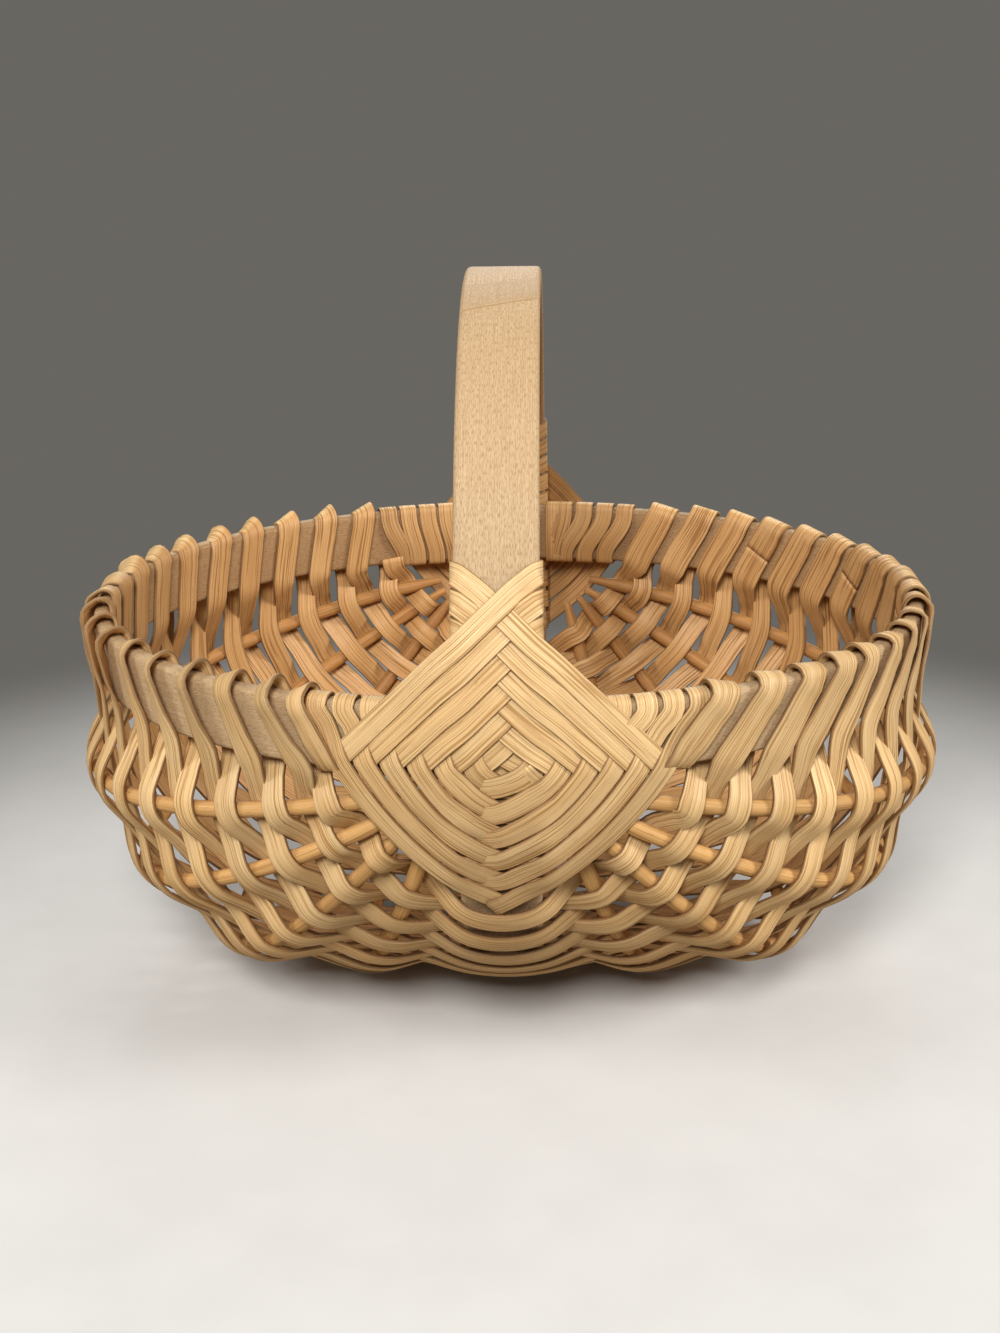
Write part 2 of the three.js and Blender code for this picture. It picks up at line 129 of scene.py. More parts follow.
# Wraps over the rim; hand 1 is the right and -1 the left
END_WRAP_SEED = 7
WRAP_WIDTH = {1: 1.31, -1: 1.14}  # in reed widths
WRAP_WIDTHS = (0.96, 1.04)  # spreads of the widths, leans, lifts and loops
WRAP_LEANS = (0.88, 1.12)
WRAP_LIFTS = (0.6, 1.25)
WRAP_LOOPS = (0.5, 1.4)
LEAN_FADE = 4  # rows over which the lean turns at the middle, and grows to the ears
LEAN_MORE_RIGHT = 0.1  # growth of the lean in front on the right
LEAN_MORE = 0.4  # growth of the lean elsewhere
WRAP_ROWS = (-1, 1, 3, 7, 13)  # rows on the right whose wraps lie past their even places, by these:
WRAP_SHIFTS = (9 * MM, 9.7 * MM, 9.6 * MM, 4.6 * MM, 0.0)
WRAP_SHIFT_LEFT = 2.5 * MM  # the same on the left, for each row before the second
WRAP_SHIFT_LAST = 1.5 * MM  # the same for the last row
WRAP_UNDER = (-0.6, 0.6)  # under the rim: shares of the way out
WRAP_FOOT_LIFT = 0.3  # share of the lift at the foot of the outside
WRAP_OUTSIDE = ((-0.35, 0.8), (0.35, 1.0), (0.85, 1.0))  # up it: share of the half height, of the lift
WRAP_INSIDE = (0.7, 0.0, -0.7)  # down the inside: shares of the half height
WRAP_STAND = 0.8  # stand of a lifted wrap's middle off the rim, as a share of its edge's
# Over the top: share of the way out, height in loops and in lays of the reed, facing up, share of the lift
WRAP_OVER = ((0.75, 0.6, 0.6, 0.8, 1.2), (0.0, 1.0, 1.0, 1.0, 1.2), (-0.8, 0.35, 0.5, 0.7, 0.5))

# Ear lashings, measured from the middle of the ear
EAR_TOP = 0.9 * MM  # first crossing on the handle, up it
EAR_BOTTOM = 9 * MM  # first crossing on the hoop, down it
EAR_RIGHT = np.array((8.6, -4.2)) * MM  # first crossings on the rim
EAR_LEFT = np.array((-5.6, -4.0)) * MM
EAR_RIGHT_DROP = -0.85 * MM  # their step in height with each turn
EAR_LEFT_DROP = -0.3 * MM
EAR_CLIMB = 5 * MM  # length over which a strand climbs from its crossing on the rim
EAR_FALL = 6.2 * MM  # length over which it falls to its crossing on the post
EAR_SPAN_LEAST = 2 * MM  # least length between the two
EAR_SPAN_STEP = 8 * MM  # longest step between the two
EAR_LOWER_WIDTH = 1.09  # width of a lower strand, in reed widths
EAR_UPPER_RISE = 0.042  # rise of an upper strand at the hoop's edge, for its reach beside it
EAR_PAST = 1.5 * MM  # how far an upper strand goes on past its crossing
EAR_TAILS = {1: (0.5, 0.866), -1: (0.36, 0.933)}  # a lower strand's way up the rim, by side
EAR_TAIL_PLACES = ((5.5 * MM, 1.2), (10.5 * MM, 1.0))  # how far up it, and height in lays
EAR_TAIL_TILT = 0.3  # share of the ear's tilt there
EAR_LEFT_UNDER = 2 * MM  # where strands pass under and over the rim, from their crossings
EAR_LEFT_OVER = -5 * MM
EAR_RIGHT_OVER = 8.6 * MM
EAR_RIGHT_UNDER = -1 * MM  # from the next turn's crossing
EAR_LAST_UNDER = 3.5 * MM  # for the last strand, from its own
EAR_TIP_END = (1.2 * MM, 0.9 * MM)  # cut ends at the lower tip, to the side of it and below it
EAR_TIP_START = (-2.6 * MM, 1.6 * MM)
EAR_STRAP = ((-7 * MM, 3 * MM), (10 * MM, -10.5 * MM))
EAR_STUB = ((12.5 * MM, -9.5 * MM), (9.4 * MM, -6 * MM), (7 * MM, -3.1 * MM))
EAR_STUB_WIDTH = 0.55  # in reed widths

# A lashing's strand round the rim
RIM_FROM_POST = 3 * MM  # least distance from the hoop
RIM_LIP = 0.75  # where it leaves a face, as a share of its reach
RIM_CREST = 0.7  # height over the edge, in lays
RIM_OUTSIDE = (0.1 * MM, 2 * MM)  # stand off the outside, and how far from the edge
RIM_INSIDE = 2.2 * MM  # how far from the edge on the inside
RIM_FACINGS = ((1.0, 0.15), (0.6, 0.8), (-0.6, 0.8), (-1.0, 0.1))  # out and up, station by station

# A lashing's strand round the hoop's edge
POST_TAIL = 5.5 * MM  # its tail, from the middle
POST_CORNER = 0.9 * MM  # its corner, from the edge
POST_BACK = 1.6 * MM  # its place at the back, from the edge
POST_CLIMBS = np.array((5.1, 8.6, 9.7, 10.0)) * MM  # tail, corner, flank and back, up the hoop
POST_LOWER = -0.25  # the same for a lower strand, as a share
POST_TAIL_HEIGHT = 0.8  # as a share of an under strand's
POST_CORNER_HEIGHT = 0.15 * MM  # over the reed's lay
POST_TURN = 0.3  # facing to the side at the corner and at the back

# Fibres of reed and wood
NOISE_SPAN = (0.3, 0.7)  # part of the noise that is used
NOISE_MIDDLE = 0.5
LINE_SPAN = (0.015, 0.075)  # how far in noise a dark line's core and its edge lie from its middle
PATCH_RUN = 1.9  # patches that show dark lines, against the lines' run and number
PATCH_LINES = 0.7
PATCH_FROM = 0.75  # noise at which a patch begins, less its share, and how softly
PATCH_SOFT = 0.12
PORE_FROM = 0.8  # noise at which a pore begins, less its share, and how softly
PORE_SOFT = 0.07
GRAIN_RELIEF = 0.45  # height of the grain, in depths of a cut
EDGE_SHADE_SPAN = (0.02, 0.05)  # painted shade that darkens a strand towards its edges, in ways round
HALF_FACE = 0.25  # half of a face, in ways round
DRIFT_LINES = 1.7  # slow tones per way round
FALLING = (1.0, 0.0)
MIX_COLOURS = slice(6, 8)  # colour sockets of the node that mixes
MIX_RESULT = 2
INSIDE_SPAN = (-0.45, 0.1)  # outward facing up to which a face is inside and takes painted shade, and from which not
INSIDE_PAINTED_SHADE = (0.74, 0.62, 0.51)  # warm painted shade that multiplies the colour of such a face
STRAND_SHADES = (0.88, 1.08)  # of single strands
RELIEF_SPAN = (-1.0, 0.5)  # heights from the cuts to the ridges
CUT_ROUGHER = 0.14  # roughness of cuts and ridges, against the stock's
RIDGE_SMOOTHER = 0.06
RELIEF_DEPTH = 0.1 * MM
SPECULAR = 0.38

# Looks: fibre inputs in the order of these names, in features per metre along and per way round, slow tones
# per metre, and shares of grain, stain, dark lines, painted shade at the edges and pores
FIBRE_INPUTS = (
    "Grain lines", "Grain run", "Dark lines", "Dark run", "Dark share",
    "Pore lines", "Pore run", "Pore share",
)
Look = namedtuple("Look", "fibres run grain stain line edge pore roughness bump")
REED_LOOK = Look(
    (60.0, 22.0, 24.0, 13.0, 0.33, 80.0, 200.0, 0.1),
    run=8.0, grain=0.5, stain=0.4, line=0.95, edge=0.75, pore=0.6, roughness=0.55, bump=0.45)
RIB_LOOK = Look(
    (40.0, 20.0, 12.0, 16.0, 0.27, 60.0, 200.0, 0.12),
    run=14.0, grain=0.45, stain=0.35, line=0.7, edge=0.0, pore=0.6, roughness=0.6, bump=0.45)
WOOD_LOOK = Look(
    (130.0, 60.0, 20.0, 8.0, 0.1, 220.0, 620.0, 0.27),
    run=6.0, grain=0.6, stain=0.15, line=0.25, edge=0.0, pore=0.75, roughness=0.62, bump=0.35)

# Camera that matches the photograph's viewing angle
CAMERA_PLACE = Vector((15.94 * MM, -546.48 * MM, 293.81 * MM))
CAMERA_PITCH = 0.3504
CAMERA_YAW = -0.03396
CAMERA_ROLL = -0.01668
CAMERA_LENS = 50.76
CAMERA_SENSOR = 36

# Soft boxes: name, place, size, power and tint
LIGHTS = (
    ("left_light", (-1.35, -0.4, 0.9), 0.55, 10, (1.0, 0.975, 0.94)),
    ("right_light", (1.35, -0.4, 0.9), 0.55, 18, (1.0, 0.975, 0.94)),
    ("front_light", (-0.15, -1.3, 1.18), 0.55, 27.5, (1.0, 0.97, 0.93)),
    ("back_light", (0.0, 1.45, 0.85), 0.8, 9, (1.0, 0.975, 0.94)),
)
FILL_STRENGTH = 0.07
FILL_TINT = (1.0, 0.985, 0.96, 1.0)

# Floor
FLOOR_RADIUS = 6.0
FLOOR_SIDES = 96
FLOOR_MIDDLE = (0.0, -0.09, 0.0)  # middle of its pale part
FLOOR_FADE = (0.2, 0.42)  # distances over which that fades
FLOOR_ROUGHNESS = 0.75
MOTTLE_SCALE = 40.0
MOTTLE_DETAIL = 3.0
MOTTLE_SHARE = 0.04

Station = namedtuple("Station", "point normal half_width")


# Properties


def length_property(name, description, default, least=0.0):
    return bpy.props.FloatProperty(
        name=name, description=description, default=default, min=least, unit="LENGTH", precision=5)


def share_property(name, description, default):
    return bpy.props.FloatProperty(name=name, description=description, default=default, min=0.0, max=1.0)


def count_property(name, description, default, least):
    return bpy.props.IntProperty(name=name, description=description, default=default, min=least)


def colour_property(name, description, default):
    return bpy.props.FloatVectorProperty(
        name=name, description=description, default=default, subtype="COLOR", size=3, min=0.0, max=1.0)


class BasketSizes(bpy.types.PropertyGroup):
    """Sizes of the stock and of the weave"""

    hoop_stock: length_property("Hoop stock", "Thickness of the handle hoop's wood", 5 * MM, 2 * MM)
    hoop_round: length_property("Hoop rounding", "Radius of the hoops' worn edges", 1.5 * MM, 0.1 * MM)
    rim_stock: length_property("Rim stock", "Thickness of the rim hoop's wood", 5 * MM, 2 * MM)
    rib_diameter: length_property("Rib diameter", "Round reed of the ribs", 4.6 * MM, 1 * MM)
    rib_tip: length_property("Rib tip", "Diameter of a rib's whittled end", 2.2 * MM, 0.5 * MM)
    rib_taper: length_property("Rib taper", "Length of a rib's whittled end", 12 * MM, 1 * MM)
    rib_tuck: length_property("Rib tuck", "From the point where the ribs gather to a rib's tip", 10 * MM)
    reed_width: length_property("Weaver width", "Width of the weavers' flat reed", 7.2 * MM, 2 * MM)
    reed_thickness: length_property("Weaver thickness", "Thickness of that reed", 1.1 * MM, 0.3 * MM)
    rows: count_property("Rows", "Weaver rows from ear to ear, an odd number", 37, 5)
    wrap_lean: length_property("Wrap lean", "How far a wrap leans from the ear, middle to top", 3.5 * MM)
    wrap_lean_right: length_property("Wrap lean right", "The same in front on the right", 6.2 * MM)
    wrap_lift: share_property("Wrap lift", "Slope with which a wrap stands off on the ear's side", 0.5)
    wrap_lift_right: share_property("Wrap lift right", "The same for the wraps on the right", 0.2)
    wrap_loop: length_property("Wrap loop", "Height of the small loops above the rim", 1.2 * MM)
    lashing_width: length_property("Lashing width", "Width of the lashings' flat reed", 6.1 * MM, 2 * MM)
    lashing_thickness: length_property("Lashing thickness", "Thickness of that reed", 0.8 * MM, 0.3 * MM)
    front_ear_turns: count_property("Front ear turns", "Turns of the front ear's lashing", 6, 2)
    back_ear_turns: count_property("Back ear turns", "Turns of the back ear's lashing", 5, 2)
    ear_top_step: length_property("Ear step up", "Step of a lashing's turns up the handle", 7.2 * MM, 2 * MM)
    ear_right_step: length_property("Ear step right", "The same along the rim, right", 6.8 * MM, 2 * MM)
    ear_left_step: length_property("Ear step left", "The same along the rim, left", 7.2 * MM, 2 * MM)
    ear_bottom_step: length_property("Ear step down", "The same down the hoop", 7.75 * MM, 2 * MM)
    ear_bow: share_property("Ear bow", "Outward bow of the lower strands, as a share of their length", 0.072)
    ear_tilt: share_property("Ear tilt", "Slope with which each turn lies over the one before", 0.15)


class BasketColours(bpy.types.PropertyGroup):
    """Colours of the reed, the wood and the stage"""

    reed_pale: colour_property("Reed pale", "Pale fibres of the flat reed", (0.86, 0.62, 0.325))
    reed_dark: colour_property("Reed dark", "Dark fibres of the flat reed", (0.41, 0.22, 0.07))
    reed_stain: colour_property("Reed stain", "Warmer stretches of the flat reed", (0.62, 0.34, 0.115))
    rib_pale: colour_property("Rib pale", "Pale fibres of the round reed", (0.68, 0.40, 0.15))
    rib_dark: colour_property("Rib dark", "Dark fibres of the round reed", (0.38, 0.19, 0.058))
    wood_pale: colour_property("Wood pale", "Pale wood of the hoops", (0.55, 0.39, 0.225))
    wood_dark: colour_property("Wood dark", "Dark grain of the hoops", (0.41, 0.272, 0.14))
    wood_fleck: colour_property("Wood flecks", "Short flecks in the hoops' wood", (0.35, 0.215, 0.10))
    # also the tint of the painted shade at the flat reed's edges
    pore: colour_property("Pores", "Pores of the reed", (0.15, 0.07, 0.022))
    floor: colour_property("Floor", "Floor under the basket", (0.63, 0.63, 0.626))
    floor_bounce: colour_property("Floor bounce", "Floor as it lights the basket", (0.26, 0.22, 0.17))
    backdrop: colour_property("Backdrop", "Backdrop behind the basket", (0.14, 0.133, 0.121))


# Vectors and smooth lines


def vec(x, y, z):
    return np.array((x, y, z), float)


def unit(vector):
    return vector / np.linalg.norm(vector)


def units(vectors):
    """The rows of an array, each made one long."""
    return vectors / np.linalg.norm(vectors, axis=1)[:, None]


def mix(a, b, share):
    return a + (b - a) * share


def gaps(points):
    """Distance from each point to the next."""
    return np.linalg.norm(np.diff(points, axis=0), axis=1)


def running(steps):
    """Distance run before each step, and after the last."""
    return np.concatenate(([0.0], np.cumsum(steps)))


def mirrored(stations, signs=MIRROR_X):
    """The same stations on the other side of the basket."""
    return [Station(s.point * signs, s.normal * signs, s.half_width) for s in stations]


def underside(stations):
    """The same stations with the reed's other face turned out."""
    return [Station(s.point, -s.normal, s.half_width) for s in stations]


def columns(stations):
    """The stations' points, normals and half widths as arrays."""
    return [np.array(column) for column in zip(*stations)]


class Warp:
    """A line that the weave crosses, from the front ear to the back ear, measured along itself."""

    def __init__(self, points, half):
        self.points = points
        self.marks = running(gaps(points))
        self.length = self.marks[-1]
        self.half = half
        self.front = 0.0
        self.back = 0.0

    def place(self, distance):
        return np.array([np.interp(distance, self.marks, column) for column in self.points.T])

    def heading(self, distance):
        ahead = self.place(min(distance + HEADING_REACH, self.length))
        return unit(ahead - self.place(max(distance - HEADING_REACH, 0.0)))

    def row_place(self, row, rows):
        """Distance along the line at which a row crosses it."""
        return mix(self.front, self.length - self.back, row / (rows - 1))

    def pitch(self, rows):
        return (self.length - self.front - self.back) / (rows - 1)


class Layout:
    """Places worked out from the frame and the sizes, with Z = 0 where the two hoops cross."""

    def __init__(self, sizes):
        self.sizes = sizes
        self.hoop_radius = (HOOP_HIGH.z - HOOP_LOW.z) / 2
        self.hoop_half = (HOOP_HIGH.x - HOOP_LOW.x) / 2
        self.rim_x = RIM_HIGH.x
        self.rim_y = RIM_HIGH.y
        self.rim_half = (RIM_HIGH.z - RIM_LOW.z) / 2
        self.rib_radius = sizes.rib_diameter / 2
        self.lay = sizes.reed_thickness / 2 + REED_AIR
        self.middle_row = (sizes.rows - 1) / 2
        angles = np.linspace(0, math.pi, CURVE_STEPS + 1)
        self.rim = Warp(self.rim_line(angles), sizes.rim_stock / 2)
        self.hoop = Warp(self.hoop_line(angles), sizes.hoop_stock / 2)
        self.ribs = [Warp(self.rib_line(angles, k), self.rib_radius) for k in range(len(RIB_BOXES))]
        self.place_first_rows()

    def rim_line(self, angles):
        stock = self.sizes.rim_stock
        x = (self.rim_x - stock / 2) * np.sin(angles)
        y = -(self.rim_y - stock / 2) * np.cos(angles)
        return np.stack((x, y, np.zeros_like(x)), axis=1)

    def hoop_line(self, angles):
        radius = self.hoop_radius - self.sizes.hoop_stock / 2
        return np.stack((np.zeros_like(angles), -radius * np.cos(angles), -radius * np.sin(angles)), axis=1)

    def rib_line(self, angles, k):
        low, high = RIB_BOXES[k]
        start_x = self.hoop_half + RIB_START_SIDE
        start_y = self.rim_y - RIB_INSET
        start_z = -self.rim_half - RIB_START_DROP
        side = high.x - self.rib_radius - start_x
        drop = low.z + self.rib_radius - CROSSING - start_z
        bulge = np.clip(np.sin(angles), 0, 1)
        x = start_x + side * bulge ** RIB_SIDE_POWERS[k]
        z = start_z + drop * bulge ** RIB_DROP_POWERS[k]
        return np.stack((x, -start_y * np.cos(angles), z), axis=1)

    def place_first_rows(self):
        """The first and the last row follow the lower edges of the ear lashings."""
        sizes = self.sizes
        self.rim.front, self.hoop.front = self.beside_ear(sizes.front_ear_turns)
        self.rim.back, self.hoop.back = self.beside_ear(sizes.back_ear_turns)
        for rib in self.ribs:
            rib.front = self.first_on_rib(rib, self.rim.front, self.hoop.front)
            rib.back = self.first_on_rib(rib, self.rim.back, self.hoop.back)

    def beside_ear(self, turns):
        """Distance from the ear's middle to the row beside it, along the rim and down the hoop."""
        return RIM_STEP * turns + BESIDE_EAR, HOOP_STEP * turns + UNDER_EAR

    def first_on_rib(self, rib, on_rim, on_hoop):
        """Length of a rib that lies within an ear's corner."""
        on_hoop = on_hoop + BESIDE_EAR - UNDER_EAR
        hoop_drop = self.hoop_radius * math.sin(on_hoop / self.hoop_radius)
        across = np.abs(rib.points[:, 0] / on_rim) ** FIRST_ROW_BOW
        down = np.abs(rib.points[:, 2] / hoop_drop) ** FIRST_ROW_BOW
        return rib.marks[np.argmax(across + down >= FIRST_ROW_ROOM)]

    def rim_frame(self, distance):
        """Middle of the rim, its heading and its outward side."""
        heading = self.rim.heading(distance)
        return self.rim.place(distance), heading, np.cross(heading, UP)


def smooth_line(stations):
    """Stations close together on a smooth line through the given ones."""
    points, normals, widths = columns(stations)
    steps = gaps(points)
    slopes = np.diff(points, axis=0) / steps[:, None]
    inner = slopes[:-1] * steps[1:, None] + slopes[1:] * steps[:-1, None]
    inner = inner / (steps[:-1] + steps[1:])[:, None]
    tangents = np.vstack((slopes[:1], inner, slopes[-1:]))
    line = []
    for i, step in enumerate(steps):
        turn = math.acos(np.clip(np.dot(unit(normals[i]), unit(normals[i + 1])), -1, 1))
        count = max(math.ceil(step / STRAND_STEP), math.ceil(turn / STRAND_TURN), 1)
        for share in np.arange(count) / count:
            point = cubic(points[i], points[i + 1], tangents[i] * step, tangents[i + 1] * step, share)
            normal = mix(normals[i], normals[i + 1], share)
            line.append(Station(point, normal, mix(widths[i], widths[i + 1], share)))
    line.append(stations[-1])
    return line


def cubic(a, b, slope_a, slope_b, share):
    """Point on the curve that leaves a and reaches b with the given slopes."""
    s2 = share * share
    s3 = s2 * share
    return (a * (2 * s3 - 3 * s2 + 1) + slope_a * (s3 - 2 * s2 + share)
            + b * (3 * s2 - 2 * s3) + slope_b * (s3 - s2))


# Meshes


class Stock:
    """Collects closed lofts of reed or wood, with a UV map that runs along each of them."""

    def __init__(self, strand=0):
        self.vertices = []
        self.faces = []
        self.uvs = []
        self.count = 0
        self.strand = strand

    def loft(self, rings, along, closed=False):
        """Skins rings of equal size; U is the distance along, V is the strand's number and the way round."""
        rows, sides = rings.shape[:2]
        index = np.arange(rows * sides).reshape(rows, sides)
        lower = index if closed else index[:-1]
        upper = np.roll(index, -1, axis=0) if closed else index[1:]
        faces = np.stack((lower, upper, np.roll(upper, -1, axis=1), np.roll(lower, -1, axis=1)), axis=-1)
        faces = faces.reshape(-1, 4)
        girth = rings[rows // 2]
        edges = np.linalg.norm(np.roll(girth, -1, axis=0) - girth, axis=1)
        way_round = self.strand + running(edges) / edges.sum() * STRAND_FILL
        start, near = np.meshgrid(along[:-1], way_round[:-1], indexing="ij")
        end, far = np.meshgrid(along[1:], way_round[1:], indexing="ij")
        uvs = np.stack((start, near, end, near, end, far, start, far), axis=-1).reshape(-1, 4, 2)
        corners = rings.reshape(-1, 3)
        a, b, c, d = (corners[faces[:, k]] for k in range(4))
        volume = np.sum(a * (np.cross(b, c) + np.cross(c, d)))
        caps = [] if closed else [index[0], index[-1][::-1]]
        if volume < 0:
            faces = faces[:, ::-1]
            uvs = uvs[:, ::-1]
            caps = [cap[::-1] for cap in caps]
        self.vertices.append(corners)
        self.faces.extend((faces + self.count).tolist())
        self.uvs.append(uvs.reshape(-1, 2))
        for cap, place in zip(caps, (along[0], along[-1])):
            self.faces.append((cap + self.count).tolist())
            self.uvs.append(np.tile((place, self.strand + 0.5), (sides, 1)))
        self.count += rows * sides
        self.strand += 1

    def reed(self, stations, thickness):
        """A flat reed with a slight crown and rounded edges along the stations."""
        line, facing, half_widths = columns(smooth_line(stations))
        ahead = units(np.gradient(line, axis=0))
        across = units(np.cross(facing, ahead))
        normal = np.cross(ahead, across)
        rings = [line + across * (half_widths * side)[:, None] + normal * (thickness / 2 * height)
                 for side, height in REED_PROFILE]
        self.loft(np.stack(rings, axis=1), running(gaps(line)))

    def hoop(self, section, middle, outward, across):
        """A closed hoop with the same section all round."""
        rings = [middle + across * side + outward * out for side, out in section]
        along = running(gaps(np.vstack((middle, middle[:1]))))
        self.loft(np.stack(rings, axis=1), along, closed=True)

    def build(self, name, material):
        """One mesh object of everything collected, lifted from the crossing's height to the floor's."""
        mesh = bpy.data.meshes.new(name)
        vertices = np.vstack(self.vertices) + UP * CROSSING
        mesh.from_pydata(vertices.tolist(), [], self.faces)
        layer = mesh.uv_layers.new(name="Strand")
        layer.data.foreach_set("uv", np.vstack(self.uvs).ravel())
        mesh.polygons.foreach_set("use_smooth", [len(face) == 4 for face in self.faces])
        mesh.materials.append(material)
        mesh.update()
        piece = bpy.data.objects.new(name, mesh)
        bpy.context.collection.objects.link(piece)
        return piece


def rounded_section(half_width, half_height, radius):
    """Corners of a rounded rectangle as pairs of across and out, with its outer face split in three."""
    corners = []
    for quarter, (sx, sy) in enumerate(((1, 1), (-1, 1), (-1, -1), (1, -1))):
        for step in range(ROUND_STEPS + 1):
            angle = math.pi / 2 * (quarter + step / ROUND_STEPS)
            x = sx * (half_width - radius) + radius * math.cos(angle)
            y = sy * (half_height - radius) + radius * math.sin(angle)
            corners.append((x, y))
        if quarter == 0:
            corners.append((FACE_SPLIT * half_width, half_height))
            corners.append((-FACE_SPLIT * half_width, half_height))
    return corners


def place_piece(piece, slot, *nodes):
    """Rides the piece on the basket and hides its solids."""
    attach(piece, "root")
    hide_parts(*nodes)


# Materials


def add_node(tree, kind, inputs=None, **settings):
    """A node with its settings made and its inputs linked or filled in."""
    node = tree.nodes.new(kind)
    for name, value in settings.items():
        setattr(node, name, value)
    for name, value in (inputs or {}).items():
        if isinstance(value, bpy.types.NodeSocket):
            tree.links.new(value, node.inputs[name])
        else:
            node.inputs[name].default_value = value
    return node


def math_node(tree, operation, a, b=0.0):
    return add_node(tree, "ShaderNodeMath", {0: a, 1: b}, operation=operation).outputs[0]


def vector_node(tree, operation, a, b=(0.0, 0.0, 0.0)):
    return add_node(tree, "ShaderNodeVectorMath", {0: a, 1: b}, operation=operation).outputs


def ramp_value(tree, value, span, to=(0.0, 1.0)):
    """The value stretched from one span to another, smooth at both ends."""
    inputs = {"Value": value, "From Min": span[0], "From Max": span[1], "To Min": to[0], "To Max": to[1]}
    return add_node(tree, "ShaderNodeMapRange", inputs, interpolation_type="SMOOTHSTEP").outputs[0]


def mix_colour(tree, factor, a, b, blend="MIX"):
    node = add_node(tree, "ShaderNodeMix", {0: factor}, data_type="RGBA", blend_type=blend)
    for socket, value in zip(node.inputs[MIX_COLOURS], (a, b)):
        if isinstance(value, bpy.types.NodeSocket):
            tree.links.new(value, socket)
        else:
            socket.default_value = (*value, 1.0)
    return node.outputs[MIX_RESULT]


def stretched_noise(tree, strand, along, across, detail=1.0, roughness=0.5):
    """Noise drawn out along a strand; along and across are features per metre and per way round."""
    scaled = add_node(tree, "ShaderNodeCombineXYZ", {0: along, 1: across, 2: 0.0}).outputs[0]
    place = vector_node(tree, "MULTIPLY", strand, scaled)[0]
    inputs = {"Vector": place, "Scale": 1.0, "Detail": detail, "Roughness": roughness}
    return add_node(tree, "ShaderNodeTexNoise", inputs).outputs[0]


def shared_group(name, inputs, fill):
    """The node group of that name, made on first use; fill turns its inputs into its named outputs."""
    group = bpy.data.node_groups.get(name)
    if group is not None:
        return group
    group = bpy.data.node_groups.new(name, "ShaderNodeTree")
    for label in inputs:
        kind = "NodeSocketVector" if label == "Strand" else "NodeSocketFloat"
        group.interface.new_socket(label, in_out="INPUT", socket_type=kind)
    values = fill(group, group.nodes.new("NodeGroupInput").outputs)
    for label in values:
        group.interface.new_socket(label, in_out="OUTPUT", socket_type="NodeSocketFloat")
    end = group.nodes.new("NodeGroupOutput")
    for label, value in values.items():
        group.links.new(value, end.inputs[label])
    return group


def fibre_values(group, given):
    """Fine grain, thin dark lines, pores, painted shade at the edges and relief that run along a strand."""
    strand = given["Strand"]
    noise = stretched_noise(
        group, strand, given["Grain run"], given["Grain lines"], detail=3.0, roughness=0.6)
    grain = ramp_value(group, noise, NOISE_SPAN)
    wander = stretched_noise(group, strand, given["Dark run"], given["Dark lines"])
    from_line = math_node(group, "ABSOLUTE", math_node(group, "SUBTRACT", wander, NOISE_MIDDLE))
    thin = ramp_value(group, from_line, LINE_SPAN, FALLING)
    patch_run = math_node(group, "MULTIPLY", given["Dark run"], PATCH_RUN)
    patch_lines = math_node(group, "MULTIPLY", given["Dark lines"], PATCH_LINES)
    patches = stretched_noise(group, strand, patch_run, patch_lines)
    patch_from = math_node(group, "SUBTRACT", PATCH_FROM, given["Dark share"])
    shown = ramp_value(group, patches, (patch_from, math_node(group, "ADD", patch_from, PATCH_SOFT)))
    line = math_node(group, "MULTIPLY", thin, shown)
    specks = stretched_noise(group, strand, given["Pore run"], given["Pore lines"], roughness=0.4)
    pore_from = math_node(group, "SUBTRACT", PORE_FROM, given["Pore share"])
    pore = ramp_value(group, specks, (pore_from, math_node(group, "ADD", pore_from, PORE_SOFT)))
    cuts = math_node(group, "MAXIMUM", line, pore)
    height = math_node(group, "SUBTRACT", math_node(group, "MULTIPLY", grain, GRAIN_RELIEF), cuts)
    way_round = add_node(group, "ShaderNodeSeparateXYZ", {0: strand}).outputs[1]
    # painted shade: darker towards a strand's edges, like the shade in the gaps between strands
    edge = ramp_value(group, math_node(group, "PINGPONG", way_round, HALF_FACE), EDGE_SHADE_SPAN, FALLING)
    return {"Grain": grain, "Line": line, "Pore": pore, "Edge": edge, "Height": height}


def tone_values(group, given):
    """Slow changes of tone along a strand, and one tone for each strand."""
    way_round = add_node(group, "ShaderNodeSeparateXYZ", {0: given["Strand"]}).outputs[1]
    number = math_node(group, "FLOOR", way_round)
    own = add_node(group, "ShaderNodeTexWhiteNoise", {"W": number}, noise_dimensions="1D").outputs[0]
    noise = stretched_noise(group, given["Strand"], given["Run"], DRIFT_LINES, detail=2.0)
    return {"Own": own, "Drift": ramp_value(group, noise, NOISE_SPAN)}


def inside_value(group, _):
    """Mask of the faces that look to the middle of the basket, where shade is painted."""
    surface = add_node(group, "ShaderNodeNewGeometry").outputs
    from_middle = vector_node(group, "SUBTRACT", surface["Position"], (0.0, 0.0, CROSSING))[0]
    away = vector_node(group, "NORMALIZE", from_middle)[0]
    facing = vector_node(group, "DOT_PRODUCT", away, surface["Normal"])["Value"]
    return {"Inside": ramp_value(group, facing, INSIDE_SPAN, FALLING)}


def new_material(name):
    """A material with its node tree and its shader."""
    material = bpy.data.materials.new(name)
    material.use_nodes = True
    return material, material.node_tree, material.node_tree.nodes["Principled BSDF"]


